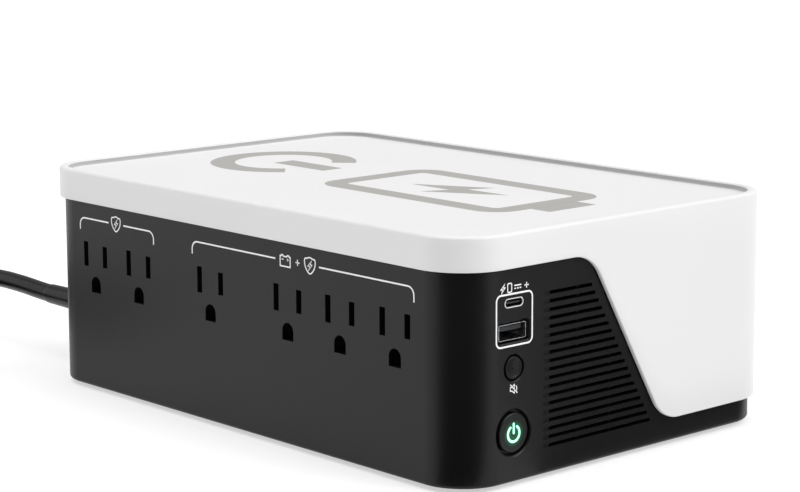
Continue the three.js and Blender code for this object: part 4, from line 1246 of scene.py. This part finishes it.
LOOKS = {
    CARRIER_BLACK: ("outlet_carrier_surge", "outlet_carrier_backup", "breaker_housing", "buzzer"),
    BRASS: ("surge_line_bus", "backup_line_bus", "neutral_bus", "ground_bus"),
    BOARD_GREEN: ("control_board", "usb_board", "main_board"),
    GREY_PLASTIC: ("power_switch", "mute_switch", *(f"power_transistor_{n}" for n in (1, 2, 3))),
    BATTERY_GREY: ("battery_case", "battery_lid"),
    LEAD_GREY: ("battery_cells",),
    STEEL: (
        "battery_terminal_negative", "battery_terminal_positive", "transformer_strap",
        *(f"case_screw_{end}_{side}" for end in ("front", "rear") for side in ("left", "right")),
    ),
    BLACK_WIRE: ("battery_lead_negative",),
    RED_WIRE: ("battery_lead_positive",),
    BLUE_SLEEVE: ("relay_1", "relay_2", "capacitor"),
    ALUMINIUM: ("heat_sink",),
    CORE: ("transformer_core",),
    COPPER: ("transformer_winding",),
}


def dress_cad_nodes():
    """Gives each CAD piece that is kept its material."""
    for material, names in LOOKS.items():
        for name in names:
            node = NODES[name]
            for slot in node.material_slots:
                slot.link = "OBJECT"
                slot.material = material


dress_cad_nodes()


# ---------- studio ----------


def stage_piece(name, verts, faces, shade, spread, scale):
    """A matt studio piece in two nearly equal greys."""
    material, shader = new_material(name, (shade, shade, shade), 0.9, 0, 0.0)
    dark, light = shade * (1 - spread), shade * (1 + spread)
    tint(material, shader, noise(material, scale, 2), (dark,) * 3, (light,) * 3)
    piece = mesh_object(name, verts, faces)
    piece.data.materials.append(material)
    return piece


def make_floor():
    """A pale floor that reaches out of sight and gives off some light of its own."""
    size, steps = 30000.0, 12
    places = [-size + 2 * size * i / steps for i in range(steps + 1)]
    verts = [(x, y, -0.02) for x in places for y in places]
    faces = []
    for i in range(steps):
        for j in range(steps):
            a = i * (steps + 1) + j
            faces.append((a, a + steps + 1, a + steps + 2, a + 1))
    floor = stage_piece("floor", verts, faces, 0.5, 0.01, 3)
    shader = floor.active_material.node_tree.nodes["Principled BSDF"]
    set_inputs(shader, {"Emission Color": (1, 1, 1, 1), "Emission Strength": 0.55})


def make_flag(name, shade, outline):
    """A dark studio card lying on the floor, which shows only as a reflection."""
    flag = stage_piece(name, *prism_z(outline, 1.0, 1.5), shade, 0.1, 20)
    flag.visible_camera = flag.visible_shadow = flag.visible_diffuse = False


def sun(name, azimuth, elevation, strength, spread):
    """A soft distant light that stands in the given direction."""
    data = bpy.data.lights.new(name, "SUN")
    data.energy = strength
    data.angle = math.radians(spread)
    light = add_object(name, data)
    light.rotation_mode = "QUATERNION"
    light.rotation_quaternion = (-direction(azimuth, elevation)).to_track_quat("-Z", "Y")


SKY = 0.45


def make_world():
    """A white backdrop for the camera. As light, a dimmer sky, darkest in front of the corner."""
    white = (1, 1, 1, 1)
    world = bpy.data.worlds.new("studio")
    bpy.context.scene.world = world
    world.use_nodes = True
    tree = world.node_tree
    sky = tree.nodes["Background"]
    sky.inputs["Color"].default_value = white
    place = add_node(tree, "ShaderNodeTexCoord")
    towards = add_node(tree, "ShaderNodeVectorMath")
    towards.operation = "DOT_PRODUCT"
    towards.inputs[1].default_value = direction(CAMERA_TURN, 0)
    settings = {"From Min": 0.3, "From Max": 0.85, "To Min": SKY, "To Max": SKY * 0.2}
    fall = add_node(tree, "ShaderNodeMapRange", settings)
    fall.interpolation_type = "SMOOTHSTEP"
    shown = add_node(tree, "ShaderNodeBackground", {"Color": white, "Strength": 1.0})
    path = add_node(tree, "ShaderNodeLightPath")
    mix = add_node(tree, "ShaderNodeMixShader")
    tree.links.new(place.outputs["Generated"], towards.inputs[0])
    tree.links.new(towards.outputs["Value"], fall.inputs["Value"])
    tree.links.new(fall.outputs["Result"], sky.inputs["Strength"])
    tree.links.new(path.outputs["Is Camera Ray"], mix.inputs["Fac"])
    tree.links.new(sky.outputs["Background"], mix.inputs[1])
    tree.links.new(shown.outputs["Background"], mix.inputs[2])
    tree.links.new(mix.outputs["Shader"], tree.nodes["World Output"].inputs["Surface"])


make_floor()
make_flag("corner_card", 0.02, [(106, -86), (-40, -1300), (1300, -1300), (1300, 180), (124, -72)])
make_flag("end_card", 0.12, [(124, -40), (1300, 1019), (1300, 1500), (124, 1500)])
sun("top_light", -20, 78, 1.5, 60)
sun("right_light", 120, 42, 2.15, 50)
sun("left_light", -50, 20, 0.6, 60)
make_world()
bpy.context.scene.view_settings.view_transform = "Standard"
